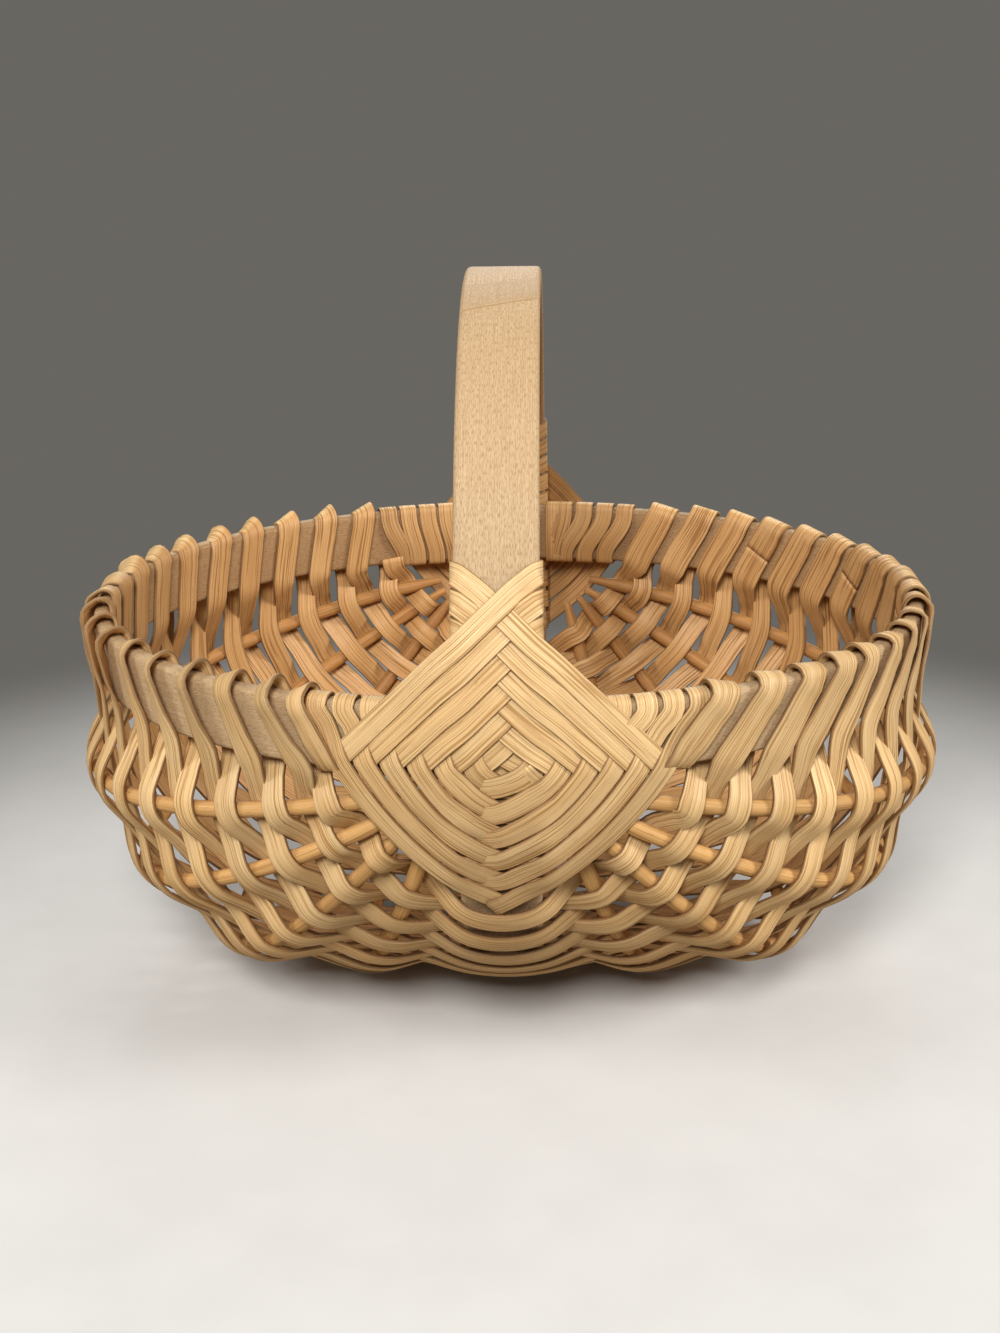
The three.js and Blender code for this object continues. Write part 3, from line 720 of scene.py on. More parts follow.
def strand_material(name, palette, look):
    """Satin reed or wood: grain between two colours, dark lines, warmer stretches, pores, painted shade at
    the edges and on inward faces, relief.
    """
    pale, dark, stain, pore = palette
    material, tree, shader = new_material(name)
    strand = add_node(tree, "ShaderNodeUVMap", uv_map="Strand").outputs[0]
    group = shared_group("Reed fibres", ("Strand", *FIBRE_INPUTS), fibre_values)
    inputs = {"Strand": strand, **dict(zip(FIBRE_INPUTS, look.fibres))}
    fibres = add_node(tree, "ShaderNodeGroup", inputs, node_tree=group).outputs
    group = shared_group("Strand tone", ("Strand", "Run"), tone_values)
    tones = add_node(tree, "ShaderNodeGroup", {"Strand": strand, "Run": look.run}, node_tree=group).outputs
    group = shared_group("Inside faces", (), inside_value)
    inside = add_node(tree, "ShaderNodeGroup", node_tree=group).outputs["Inside"]
    fade = ramp_value(tree, fibres["Grain"], (0.0, 1.0), (1.0 - look.grain, 1.0))
    colour = mix_colour(tree, fade, dark, pale)
    colour = mix_colour(tree, math_node(tree, "MULTIPLY", tones["Drift"], look.stain), colour, stain)
    shade = ramp_value(tree, tones["Own"], (0.0, 1.0), STRAND_SHADES)
    grey = add_node(tree, "ShaderNodeCombineColor", {0: shade, 1: shade, 2: shade}).outputs[0]
    colour = mix_colour(tree, 1.0, colour, grey, "MULTIPLY")
    # the edges darken towards the pore colour as painted shade
    marks = (("Line", look.line, dark), ("Edge", look.edge, pore), ("Pore", look.pore, pore))
    for label, share, tint in marks:
        colour = mix_colour(tree, math_node(tree, "MULTIPLY", fibres[label], share), colour, tint)
    # painted shade on the faces that look inward
    colour = mix_colour(tree, inside, colour, INSIDE_PAINTED_SHADE, "MULTIPLY")
    tree.links.new(colour, shader.inputs["Base Color"])
    finish = (look.roughness + CUT_ROUGHER, look.roughness - RIDGE_SMOOTHER)
    tree.links.new(ramp_value(tree, fibres["Height"], RELIEF_SPAN, finish), shader.inputs["Roughness"])
    inputs = {"Strength": look.bump, "Distance": RELIEF_DEPTH, "Height": fibres["Height"]}
    tree.links.new(add_node(tree, "ShaderNodeBump", inputs).outputs[0], shader.inputs["Normal"])
    shader.inputs["Specular IOR Level"].default_value = SPECULAR
    return material


def reed_material(colours, name):
    palette = (colours.reed_pale, colours.reed_dark, colours.reed_stain, colours.pore)
    return strand_material(name, palette, REED_LOOK)


def rib_material(colours):
    palette = (colours.rib_pale, colours.rib_dark, colours.rib_dark, colours.pore)
    return strand_material("Round reed", palette, RIB_LOOK)


def wood_material(colours, name):
    palette = (colours.wood_pale, colours.wood_dark, colours.wood_dark, colours.wood_fleck)
    return strand_material(name, palette, WOOD_LOOK)


# Hoops and ribs


def handle_stock(layout):
    """The bent handle hoop with worn edges, and the feathered lap where its ends meet near the top."""
    sizes = layout.sizes
    stock = Stock()
    angles = np.arange(HOOP_STEPS) / HOOP_STEPS * 2 * math.pi
    outward = np.stack((np.zeros_like(angles), np.cos(angles), np.sin(angles)), axis=1)
    middle = outward * (layout.hoop_radius - sizes.hoop_stock / 2)
    section = rounded_section(layout.hoop_half, sizes.hoop_stock / 2, sizes.hoop_round)
    stock.hoop(section, middle, outward, ACROSS)
    lap_half = layout.hoop_half - sizes.hoop_round * LAP_INSET
    lap = rounded_section(lap_half, LAP_STOCK / 2, LAP_STOCK * LAP_ROUND)
    places = np.linspace(0, LAP_LENGTH, LAP_STEPS + 1)
    rings = np.zeros((len(places), len(lap), 3))
    for i, place in enumerate(places):
        sunk = LAP_STOCK * mix(*LAP_SUNK, place / LAP_LENGTH)
        for j, (side, out) in enumerate(lap):
            angle = LAP_ANGLE + (place + LAP_SLANT * side) / layout.hoop_radius
            radius = layout.hoop_radius + LAP_STOCK / 2 - sunk + out
            rings[i, j] = (side, -math.cos(angle) * radius, math.sin(angle) * radius)
    stock.loft(rings, places)
    return stock


def rim_stock(layout):
    """The bent oval rim hoop with worn edges."""
    sizes = layout.sizes
    stock = Stock()
    angles = np.arange(HOOP_STEPS) / HOOP_STEPS * 2 * math.pi
    length_x = layout.rim_x - sizes.rim_stock / 2
    length_y = layout.rim_y - sizes.rim_stock / 2
    level = np.zeros_like(angles)
    middle = np.stack((length_x * np.cos(angles), length_y * np.sin(angles), level), axis=1)
    outward = units(np.stack((length_y * np.cos(angles), length_x * np.sin(angles), level), axis=1))
    section = rounded_section(layout.rim_half, sizes.rim_stock / 2, sizes.hoop_round)
    stock.hoop(section, middle, outward, UP)
    return stock


def rib_stock(layout, k, side):
    """One rib of round reed, whittled at both ends."""
    sizes = layout.sizes
    rib = layout.ribs[k]
    stock = Stock(2 * k + (side > 0))
    places = np.linspace(sizes.rib_tuck, rib.length - sizes.rib_tuck, RIB_STEPS + 1)
    rings = np.zeros((len(places), RIB_SIDES, 3))
    for i, place in enumerate(places):
        from_end = min(place, rib.length - place) - sizes.rib_tuck
        whittled = min(from_end / sizes.rib_taper, 1.0)
        radius = mix(sizes.rib_tip / 2, layout.rib_radius, whittled)
        heading = rib.heading(place)
        first = unit(np.cross(heading, ACROSS))
        second = np.cross(heading, first)
        for j in range(RIB_SIDES):
            angle = 2 * math.pi * j / RIB_SIDES
            spoke = first * math.cos(angle) + second * math.sin(angle)
            rings[i, j] = (rib.place(place) + spoke * radius) * (side, 1, 1)
    stock.loft(rings, places)
    return stock


# Weave


def rib_shift(row, hand):
    """How far a row on the right lies past its even place on the first rib."""
    return SHIFT_AT_FIRST * max(1 - row / SHIFTED_ROWS, 0.0) if hand > 0 else 0.0


def wrap_shift(row, hand):
    """How far a wrap lies past its even place on the rim."""
    if hand > 0:
        return np.interp(row, WRAP_ROWS, WRAP_SHIFTS)
    return WRAP_SHIFT_LEFT * max(1 - row, 0)


def row_stations(layout, row, side, rng, hand):
    """Stations of one row from beside the hoop to the last rib before the rim, as if on the right."""
    sizes = layout.sizes
    warps = [layout.hoop] + layout.ribs[::-1] + [layout.rim]
    places = [warp.row_place(row, sizes.rows) for warp in warps]
    for k, share in enumerate(SHIFT_SHARES):
        places[-2 - k] += share * rib_shift(row, hand)
    points = [warp.place(place) for warp, place in zip(warps, places)]
    stations = []
    room_before = 0.0
    for k, warp in enumerate(warps[:-1]):
        before = points[1] * MIRROR_X if k == 0 else points[k - 1]
        along = unit(points[k + 1] - before)
        grain = warp.heading(places[k])
        outward = unit(np.cross(grain, along))
        if np.dot(outward, points[k]) < 0:
            outward = -outward
        across = np.cross(outward, along)
        room = warp.pitch(sizes.rows) * abs(np.dot(across, grain))
        half_width = min(sizes.reed_width, room * ROW_FILL) / 2 * rng.uniform(*ROW_WIDTHS)
        face = -side if (k + len(warps)) % 2 == 0 else side
        middle = points[k] + outward * (face * (warp.half + layout.lay))
        middle = middle + grain * rng.uniform(-ROW_STRAY, ROW_STRAY)
        normal = unit(outward + across * rng.uniform(-ROW_LEAN, ROW_LEAN))
        reach = layout.rib_radius * ROW_FLAT
        flats = (layout.hoop_half + layout.lay,) if k == 0 else (-reach, reach)
        crossing = [Station(middle + along * flat, normal, half_width) for flat in flats]
        if k > 0:
            narrow = min((room + room_before) / 4, half_width) * ROW_BETWEEN
            last = stations[-1]
            halfway = (last.point + crossing[0].point) / 2
            stations.append(Station(halfway, unit(last.normal + normal), narrow))
        stations.extend(crossing)
        room_before = room
    return stations


def turn_stations(layout, row, inner_row, rng, hand):
    """Stations under the rim, up its outside, over it in a loop and down its inside, as if on the right."""
    sizes = layout.sizes
    rim = layout.rim
    away = min(max((layout.middle_row - row) / LEAN_FADE, -1.0), 1.0)
    near_ear = max(1 - min(max(row, 0), sizes.rows - 1 - row) / LEAN_FADE, 0.0)
    slanted = hand > 0 and away > 0
    half_width = sizes.reed_width / 2 * rng.uniform(*WRAP_WIDTHS) * WRAP_WIDTH[hand]
    lean = away * (sizes.wrap_lean_right if slanted else sizes.wrap_lean) * rng.uniform(*WRAP_LEANS)
    lean = lean * (1 + (LEAN_MORE_RIGHT if slanted else LEAN_MORE) * near_ear)
    lift = (sizes.wrap_lift_right if hand > 0 else sizes.wrap_lift) * rng.uniform(*WRAP_LIFTS)
    loop = sizes.wrap_loop * rng.uniform(*WRAP_LOOPS)
    at = rim.row_place(row, sizes.rows) + rng.uniform(-ROW_STRAY, ROW_STRAY) + wrap_shift(row, hand)
    if away < 0:
        at += WRAP_SHIFT_LAST * near_ear
    inner_at = rim.row_place(inner_row, sizes.rows) + rib_shift(inner_row, hand)
    lay = layout.lay
    top = layout.rim_half
    low = top + lay
    offset = sizes.rim_stock / 2 + lay

    def under(share):
        point, _, outward = layout.rim_frame(at - lean)
        return Station(point + outward * (share * offset) - UP * low, unit(outward * share - UP), half_width)

    def outside(height, lifted):
        point, heading, outward = layout.rim_frame(at + lean * height / top)
        normal = unit(outward + heading * (away * lift * lifted))
        stand = offset + lift * lifted * half_width * WRAP_STAND
        return Station(point + outward * stand + UP * height, normal, half_width)

    def over(share, in_loops, in_lays, rise, lifted):
        point, heading, outward = layout.rim_frame(at + lean)
        normal = unit(outward * share + UP * rise + heading * (away * lift * lifted))
        height = top + loop * in_loops + lay * in_lays
        return Station(point + outward * (share * offset) + UP * height, normal, half_width)

    def inside(height):
        share = (top - height) / (2 * top)
        point, _, outward = layout.rim_frame(mix(at + lean, inner_at, min(max(share, 0), 1)))
        return Station(point - outward * offset + UP * height, -outward, half_width)

    foot = outside(-low, WRAP_FOOT_LIFT)
    return {
        "under": [under(share) for share in WRAP_UNDER],
        "outside": [foot] + [outside(top * up, lifted) for up, lifted in WRAP_OUTSIDE],
        "over": [over(*place) for place in WRAP_OVER],
        "inside": [inside(top * up) for up in WRAP_INSIDE] + [inside(-low)],
    }


def go_on(layout, strand, stations):
    """Goes on with a strand, narrowed where it passes between its neighbours on its way to the rim."""
    last, first = strand[-1], stations[0]
    room = layout.rim.pitch(layout.sizes.rows) * RIM_BETWEEN
    half_width = min(room, first.half_width, last.half_width)
    strand.append(Station((last.point + first.point) / 2, unit(last.normal + first.normal), half_width))
    strand.extend(stations)


def weave_strands(layout):
    """Stations of the whole weave in the order the reed is laid, split into its lengths."""
    rng = random.Random(WEAVE_SEED)
    rows = layout.sizes.rows
    rows_per_strand = round(rows / WEAVER_COUNT)
    start = turn_stations(layout, -1, 0, rng, 1)
    strands = [start["under"] + start["outside"][1:] + start["over"] + start["inside"]]
    for row in range(rows):
        strand = strands[-1]
        outer = row % 2 == 1
        side = 1 if outer else -1
        right = row_stations(layout, row, side, rng, 1)
        left = mirrored(row_stations(layout, row, side, rng, -1))
        last = row == rows - 1
        splits = not last and (row + 1) % rows_per_strand == 0 and len(strands) < WEAVER_COUNT
        if outer:
            go_on(layout, strand, left[::-1] + right)
            turn = turn_stations(layout, row, row + 1, rng, 1)
            go_on(layout, strand, turn["outside"] + turn["over"])
            if splits:
                strand.extend(turn["inside"][:2])
                strands.append(turn["inside"][1:])
            else:
                strand.extend(turn["inside"])
            continue
        go_on(layout, strand, underside(right[::-1] + left))
        turn = turn_stations(layout, row if last else row + 1, row, rng, -1)
        climb = mirrored(turn["inside"][::-1])
        over = mirrored(turn["over"][::-1] + turn["outside"][::-1])
        if last:
            go_on(layout, strand, climb[:2])
        elif splits:
            go_on(layout, strand, climb[:3])
            strands.append(climb[2:] + over)
        else:
            go_on(layout, strand, climb + over)
    return strands


def end_wrap(layout):
    """Stations of the single wrap on the rim beside the front ear, on the left."""
    wrap = turn_stations(layout, -1, -1, random.Random(END_WRAP_SEED), -1)
    return mirrored(wrap["under"] + wrap["outside"][1:] + wrap["over"] + wrap["inside"][:3])


# Ear lashings


class Ear:
    """The front ear: a reed that spirals outward round the four arms where the hoops cross.

    Each turn runs from the right arm over the handle to the left arm, and under it over the hoop back to
    the right arm. A strand lies over those laid before it. Places on the front are pairs of X and Z.
    """

    def __init__(self, layout, turns):
        self.layout = layout
        self.sizes = layout.sizes
        self.turns = turns
        self.half_width = self.sizes.lashing_width / 2
        self.lay = self.sizes.lashing_thickness / 2 + REED_AIR
        self.under = self.lay + self.half_width * self.sizes.ear_tilt
        self.over = self.under + self.sizes.lashing_thickness + REED_AIR
        self.edge = layout.hoop_half + self.lay
        end = EAR_RIGHT[0] + self.sizes.ear_right_step * turns
        rim_face = layout.rim_y * math.sqrt(1 - (end / layout.rim_x) ** 2)
        self.slope = (layout.hoop_radius - rim_face) / (end - self.edge)

    def level(self, arc):
        """Height of a place on the hoop's outside, from its distance along the hoop."""
        return self.layout.hoop_radius * math.sin(arc / self.layout.hoop_radius)

    def depth(self, z):
        return math.sqrt(self.layout.hoop_radius ** 2 - z ** 2)

    def front(self, x, z, height, depth=None):
        """Place and facing on the front of the ear, which follows the hoop and falls back beside it."""
        depth = self.depth(z) if depth is None else depth
        beside = max(abs(x) - self.edge, 0.0)
        slope = math.copysign(self.slope, x) if beside > 0 else 0.0
        normal = unit(vec(slope, -self.depth(z) / self.layout.hoop_radius, z / self.layout.hoop_radius))
        return vec(x, self.slope * beside - depth, z) + normal * height, normal

    def station(self, place, out=(0.0, 0.0), width=1.0):
        """A station on the front, with its outer edge lower than its inner one."""
        point, normal = place
        lean = vec(out[0], 0, out[1]) * self.sizes.ear_tilt
        return Station(point, unit(normal + lean), self.half_width * width)

    def span(self, corner, post, height_corner, height_post, width=1.0):
        """Stations from a strand's crossing in front of a side arm to its crossing on the post."""
        upper = post > corner[1]
        run = np.array((0.0, post)) - corner
        length = np.linalg.norm(run)
        out = np.array((math.copysign(run[1], corner[0]), abs(run[0]) * (1 if upper else -1))) / length
        bow = 0.0 if upper else self.sizes.ear_bow * length
        marks = np.array((0.0, length))
        level_length = length - EAR_CLIMB - EAR_FALL
        if level_length > EAR_SPAN_LEAST:
            count = math.ceil(level_length / EAR_SPAN_STEP) + 1
            marks = np.concatenate(([0.0], np.linspace(EAR_CLIMB, length - EAR_FALL, count), [length]))
        heights = np.full(len(marks), self.over)
        heights[0] = height_corner
        heights[-1] = height_post
        free = 1 - self.edge / max(abs(corner[0]), self.edge)
        edge_depth = self.depth(corner[1] + run[1] * free)
        rise = EAR_UPPER_RISE * max(abs(corner[0]) - self.edge, 0.0)
        stations = []
        for share, height in zip(marks / length, heights):
            x, z = corner + run * share + out * (bow * 4 * share * (1 - share))
            depth = None
            if upper:
                z += rise * np.interp(share, (0, free, 1), (0, 1, 0))
                if share < free:
                    depth = mix(self.depth(corner[1]), edge_depth, share / free)
            stations.append(self.station(self.front(x, z, height, depth), out, width))
        return stations

    def past_corner(self, corner, post):
        """Where an upper strand goes on straight, under the lower one, before it bends under the rim."""
        run = unit(corner - np.array((0.0, post)))
        x, z = corner + run * EAR_PAST
        return self.station(self.front(x, z, self.lay), (math.copysign(run[1], x), abs(run[0])))

    def up_rim(self, corner):
        """Where a lower strand goes on up the rim from its crossing."""
        side = 1 if corner[0] > 0 else -1
        across, up = EAR_TAILS[side]
        out = np.array((side * up, -across)) * EAR_TAIL_TILT
        stations = []
        for distance, lays in EAR_TAIL_PLACES:
            x, z = corner + np.array((side * across, up)) * distance
            stations.append(self.station(self.front(x, z, lays * self.lay), out))
        return stations

    def rim_side(self, side, level, distance):
        """Stations over the rim (level 1), from its outside, or under it (level -1), to its inside."""
        layout = self.layout
        quarter = CURVE_STEPS // 2
        beside = max(abs(distance), self.edge + RIM_FROM_POST)
        arc = np.interp(beside, layout.rim.points[:quarter, 0], layout.rim.marks[:quarter])
        middle, _, outward = layout.rim_frame(arc)
        reach = self.sizes.rim_stock / 2 + self.lay
        top = layout.rim_half
        lip = RIM_LIP * reach
        crest = top + RIM_CREST * self.lay
        proud, below = RIM_OUTSIDE
        places = ((reach + proud, top - below), (lip, crest), (-lip, crest), (-reach, top - RIM_INSIDE))
        stations = []
        for (out, height), (facing_out, facing_up) in zip(places, RIM_FACINGS):
            normal = unit(outward * facing_out + UP * (level * facing_up))
            stations.append(Station(middle + outward * out + UP * (level * height), normal, self.half_width))
        if level < 0:
            stations = stations[1:]
        return mirrored(stations) if side < 0 else stations

    def post_side(self, side, up, arc):
        """Stations from the front of the hoop round one of its edges to its back."""
        half = self.layout.hoop_half
        stock = self.sizes.hoop_stock
        levels = [self.level(arc + climb) for climb in POST_CLIMBS * (1 if up > 0 else POST_LOWER)]
        tail = self.front(side * POST_TAIL, levels[0], POST_TAIL_HEIGHT * self.under)
        corner, facing = self.front(side * (half - POST_CORNER), levels[1], self.lay + POST_CORNER_HEIGHT)
        flank, _ = self.front(side * self.edge, levels[2], -stock / 2)
        back, inward = self.front(side * (half - POST_BACK), levels[3], -stock - self.lay)
        return [
            self.station(tail),
            Station(corner, unit(facing + ACROSS * (side * POST_TURN)), self.half_width),
            Station(flank, ACROSS * side, self.half_width),
            Station(back, unit(ACROSS * (side * POST_TURN) - inward), self.half_width),
        ]

    def tip(self, place, bottom, height):
        """A cut end at the ear's lower tip."""
        x, below = place
        return self.station(self.front(x, self.level(bottom - below), height))

    def reeds(self):
        """The lashing in two lengths; the second is the last lower strand on the right."""
        sizes = self.sizes
        path = []
        for turn in range(self.turns):
            top = EAR_TOP + sizes.ear_top_step * turn
            bottom = -(EAR_BOTTOM + sizes.ear_bottom_step * turn)
            right = EAR_RIGHT + np.array((sizes.ear_right_step, EAR_RIGHT_DROP)) * turn
            left = EAR_LEFT + np.array((-sizes.ear_left_step, EAR_LEFT_DROP)) * turn
            high, low = self.level(top), self.level(bottom)
            last = turn == self.turns - 1
            proud = sizes.reed_thickness if last else 0.0
            path.append(self.past_corner(right, high))
            path.extend(self.span(right, high, self.under, self.under))
            path.extend(self.post_side(-1, 1, top) + self.post_side(1, 1, top)[::-1])
            path.extend(self.span(left, high, self.under, self.over)[::-1])
            path.append(self.past_corner(left, high))
            path.extend(self.rim_side(-1, -1, left[0] + EAR_LEFT_UNDER))
            path.extend(self.rim_side(-1, 1, left[0] + EAR_LEFT_OVER)[::-1])
            path.extend(self.up_rim(left)[::-1])
            path.extend(self.span(left, low, self.over, self.under + proud, EAR_LOWER_WIDTH))
            rise = self.span(right, low, self.over, self.over + proud, EAR_LOWER_WIDTH)[::-1]
            rise += self.up_rim(right) + self.rim_side(1, 1, right[0] + EAR_RIGHT_OVER)
            if last:
                end = self.tip(EAR_TIP_END, bottom, self.under + proud)
                start = self.tip(EAR_TIP_START, bottom, self.over + proud)
                rise += self.rim_side(1, -1, right[0] + EAR_LAST_UNDER)[::-1]
                return [path + [end], [start] + rise]
            path.extend(self.post_side(1, -1, bottom) + self.post_side(-1, -1, bottom)[::-1])
            path.extend(rise)
            path.extend(self.rim_side(1, -1, right[0] + sizes.ear_right_step + EAR_RIGHT_UNDER)[::-1])
        raise ValueError("an ear needs at least one turn")

    def strap(self):
        """The short length of reed that fills the middle of the ear."""
        return [self.station(self.front(x, z, self.lay)) for x, z in EAR_STRAP]

    def stub(self):
        """The cut end of the reed, which shows beside the first turn."""
        heights = (self.under, self.over, self.over + self.lay)
        places = [self.front(x, z, height) for (x, z), height in zip(EAR_STUB, heights)]
        return [self.station(place, width=EAR_STUB_WIDTH) for place in places]


def ear_stock(layout, signs, turns):
    """One ear lashing, with the cut end of its reed in the middle."""
    ear = Ear(layout, turns)
    stock = Stock()
    for stations in ear.reeds() + [ear.strap(), ear.stub()]:
        stock.reed(mirrored(stations, signs), layout.sizes.lashing_thickness)
    return stock


# Stage


def floor_material(colours):
    """Matt paper, pale under the basket, that fades into the backdrop's even grey far from it."""
    material, tree, shader = new_material("Floor paper")
    place = add_node(tree, "ShaderNodeTexCoord").outputs["Object"]
    from_middle = vector_node(tree, "SUBTRACT", place, FLOOR_MIDDLE)[0]
    far = ramp_value(tree, vector_node(tree, "LENGTH", from_middle)["Value"], FLOOR_FADE)
    inputs = {"Vector": place, "Scale": MOTTLE_SCALE, "Detail": MOTTLE_DETAIL}
    noise = add_node(tree, "ShaderNodeTexNoise", inputs).outputs[0]
    mottle = ramp_value(tree, noise, NOISE_SPAN, (0.0, MOTTLE_SHARE))
    pale = mix_colour(tree, mottle, colours.floor, colours.backdrop)
    seen = add_node(tree, "ShaderNodeLightPath").outputs["Is Camera Ray"]
    tree.links.new(mix_colour(tree, seen, colours.floor_bounce, pale), shader.inputs["Base Color"])
    shader.inputs["Roughness"].default_value = FLOOR_ROUGHNESS
    wall = add_node(tree, "ShaderNodeEmission", {"Color": (*colours.backdrop, 1.0), "Strength": 1.0})
    both = add_node(tree, "ShaderNodeMixShader", {0: far, 1: shader.outputs[0], 2: wall.outputs[0]})
    tree.links.new(both.outputs[0], tree.nodes["Material Output"].inputs["Surface"])
    return material


def stage_floor(material):
    """A round floor, much wider than any view of the basket."""
    angles = [2 * math.pi * k / FLOOR_SIDES for k in range(FLOOR_SIDES)]
    corners = [(FLOOR_RADIUS * math.cos(a), FLOOR_RADIUS * math.sin(a), 0) for a in angles]
    mesh = bpy.data.meshes.new("floor")
    mesh.from_pydata(corners, [], [tuple(range(FLOOR_SIDES))])
    mesh.materials.append(material)
    floor = bpy.data.objects.new("floor", mesh)
    bpy.context.collection.objects.link(floor)


def studio_world(colours):
    """Even fill light, with the backdrop's grey where the camera looks past the floor."""
    world = bpy.data.worlds.new("Studio")
    world.use_nodes = True
    tree = world.node_tree
    fill = tree.nodes["Background"]
    fill.inputs["Color"].default_value = FILL_TINT
    fill.inputs["Strength"].default_value = FILL_STRENGTH
    wall = add_node(tree, "ShaderNodeBackground", {"Color": (*colours.backdrop, 1.0), "Strength": 1.0})
    seen = add_node(tree, "ShaderNodeLightPath").outputs["Is Camera Ray"]
    both = add_node(tree, "ShaderNodeMixShader", {0: seen, 1: fill.outputs[0], 2: wall.outputs[0]})
    tree.links.new(both.outputs[0], tree.nodes["World Output"].inputs["Surface"])
    return world


def area_light(name, place, size, power, tint):
    """A square soft box that faces the crossing of the hoops."""
    lamp = bpy.data.lights.new(name, "AREA")
    lamp.size = size
    lamp.energy = power
    lamp.color = tint
    light = bpy.data.objects.new(name, lamp)
    light.location = place
    light.rotation_euler = (Vector((0, 0, CROSSING)) - Vector(place)).to_track_quat("-Z", "Y").to_euler()
    bpy.context.collection.objects.link(light)


def photo_camera():
    """The camera at the photograph's place, turned by its pitch, yaw and roll."""
    ahead = Vector((math.sin(CAMERA_YAW) * math.cos(CAMERA_PITCH),
                    math.cos(CAMERA_YAW) * math.cos(CAMERA_PITCH), -math.sin(CAMERA_PITCH)))
    level = Vector((math.cos(CAMERA_YAW), -math.sin(CAMERA_YAW), 0))
    over = level.cross(ahead)
    right = level * math.cos(CAMERA_ROLL) + over * math.sin(CAMERA_ROLL)
    up = over * math.cos(CAMERA_ROLL) - level * math.sin(CAMERA_ROLL)
    turn = Matrix((right, up, -ahead)).transposed().to_4x4()
    data = bpy.data.cameras.new("Photo camera")
    data.lens = CAMERA_LENS
    data.sensor_width = CAMERA_SENSOR
    camera = bpy.data.objects.new("Photo camera", data)
    camera.matrix_world = Matrix.Translation(CAMERA_PLACE) @ turn
    bpy.context.collection.objects.link(camera)
    bpy.context.scene.camera = camera


# Operators


def sizes_of(context):
    return context.scene.basket_sizes


def colours_of(context):
    return context.scene.basket_colours


class BASKET_OT_handle_hoop(bpy.types.Operator):
    """Bends the handle hoop"""

    bl_idname = "basket.handle_hoop"
    bl_label = "Handle hoop"

    def execute(self, context):
        stock = handle_stock(Layout(sizes_of(context)))
        piece = stock.build("handle_wood", wood_material(colours_of(context), "Handle wood"))
        place_piece(piece, "hoop_wood", "handle_hoop")
        return {"FINISHED"}


class BASKET_OT_rim_hoop(bpy.types.Operator):
    """Bends the rim hoop"""

    bl_idname = "basket.rim_hoop"
    bl_label = "Rim hoop"

    def execute(self, context):
        stock = rim_stock(Layout(sizes_of(context)))
        piece = stock.build("rim_wood", wood_material(colours_of(context), "Rim wood"))
        place_piece(piece, "hoop_wood", "rim_hoop")
        return {"FINISHED"}


class BASKET_OT_ribs(bpy.types.Operator):
    """Whittles and sets the eight ribs"""

    bl_idname = "basket.ribs"
    bl_label = "Ribs"

    def execute(self, context):
        layout = Layout(sizes_of(context))
        material = rib_material(colours_of(context))
        for k in range(len(RIB_BOXES)):
            for side, label in ((1, "right"), (-1, "left")):
                piece = rib_stock(layout, k, side).build(f"rib_reed_{label}_{k + 1}", material)
                place_piece(piece, "rib_reed", f"rib_{label}_{k + 1}")
        return {"FINISHED"}


class BASKET_OT_ear_lashings(bpy.types.Operator):
    """Lashes the hoops together at both ears"""

    bl_idname = "basket.ear_lashings"
    bl_label = "Ear lashings"

    def execute(self, context):
        layout = Layout(sizes_of(context))
        material = reed_material(colours_of(context), "Lashing reed")
        sizes = layout.sizes
        ears = (("front", np.ones(3), sizes.front_ear_turns), ("back", HALF_TURN, sizes.back_ear_turns))
        for label, signs, turns in ears:
            piece = ear_stock(layout, signs, turns).build(f"ear_reed_{label}", material)
            place_piece(piece, "lashing_reed", f"ear_lashing_{label}")
        return {"FINISHED"}


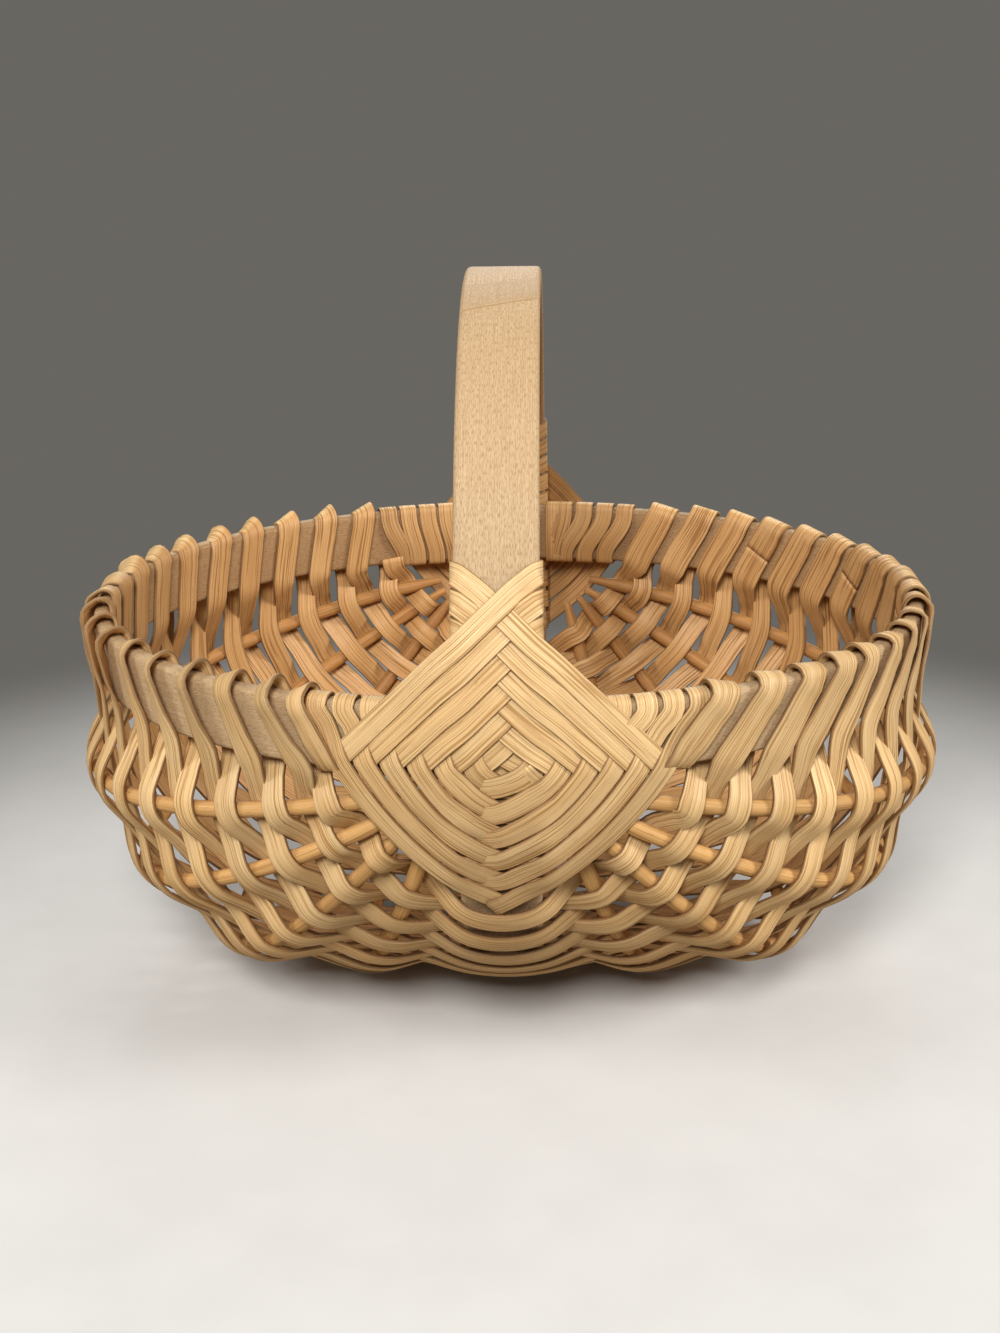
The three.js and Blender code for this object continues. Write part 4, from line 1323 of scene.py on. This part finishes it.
class BASKET_OT_weavers(bpy.types.Operator):
    """Weaves the six lengths of flat reed from ear to ear"""

    bl_idname = "basket.weavers"
    bl_label = "Weavers"

    def execute(self, context):
        layout = Layout(sizes_of(context))
        material = reed_material(colours_of(context), "Weaver reed")
        for number, stations in enumerate(weave_strands(layout), 1):
            stock = Stock(number)
            stock.reed(stations, layout.sizes.reed_thickness)
            if number == 1:
                stock.reed(end_wrap(layout), layout.sizes.reed_thickness)
            piece = stock.build(f"weaver_reed_{number}", material)
            place_piece(piece, "weaver_reed", f"weaver_{number}")
        return {"FINISHED"}


class BASKET_OT_stage(bpy.types.Operator):
    """Sets the floor, the backdrop, the lights and the camera"""

    bl_idname = "basket.stage"
    bl_label = "Stage"

    def execute(self, context):
        colours = colours_of(context)
        stage_floor(floor_material(colours))
        for light in LIGHTS:
            area_light(*light)
        context.scene.world = studio_world(colours)
        context.scene.view_settings.view_transform = "Standard"
        photo_camera()
        return {"FINISHED"}


class BASKET_PT_panel(bpy.types.Panel):
    """Lists the basket's pieces in the sidebar"""

    bl_idname = "BASKET_PT_panel"
    bl_label = "Buttocks Basket"
    bl_space_type = "VIEW_3D"
    bl_region_type = "UI"
    bl_category = "Basket"

    def draw(self, context):
        column = self.layout.column()
        for operator in OPERATORS:
            column.operator(operator.bl_idname)
        for group in (sizes_of(context), colours_of(context)):
            box = self.layout.box()
            for name in group.__annotations__:
                box.prop(group, name)


OPERATORS = (
    BASKET_OT_handle_hoop,
    BASKET_OT_rim_hoop,
    BASKET_OT_ribs,
    BASKET_OT_ear_lashings,
    BASKET_OT_weavers,
    BASKET_OT_stage,
)
CLASSES = (BasketSizes, BasketColours, *OPERATORS, BASKET_PT_panel)


def register():
    for item in CLASSES:
        bpy.utils.register_class(item)
    bpy.types.Scene.basket_sizes = bpy.props.PointerProperty(type=BasketSizes)
    bpy.types.Scene.basket_colours = bpy.props.PointerProperty(type=BasketColours)


def unregister():
    del bpy.types.Scene.basket_colours
    del bpy.types.Scene.basket_sizes
    for item in reversed(CLASSES):
        bpy.utils.unregister_class(item)


def main():
    register()
    bpy.ops.basket.handle_hoop()
    bpy.ops.basket.rim_hoop()
    bpy.ops.basket.ribs()
    bpy.ops.basket.ear_lashings()
    bpy.ops.basket.weavers()
    bpy.ops.basket.stage()


if __name__ == "__main__":
    main()
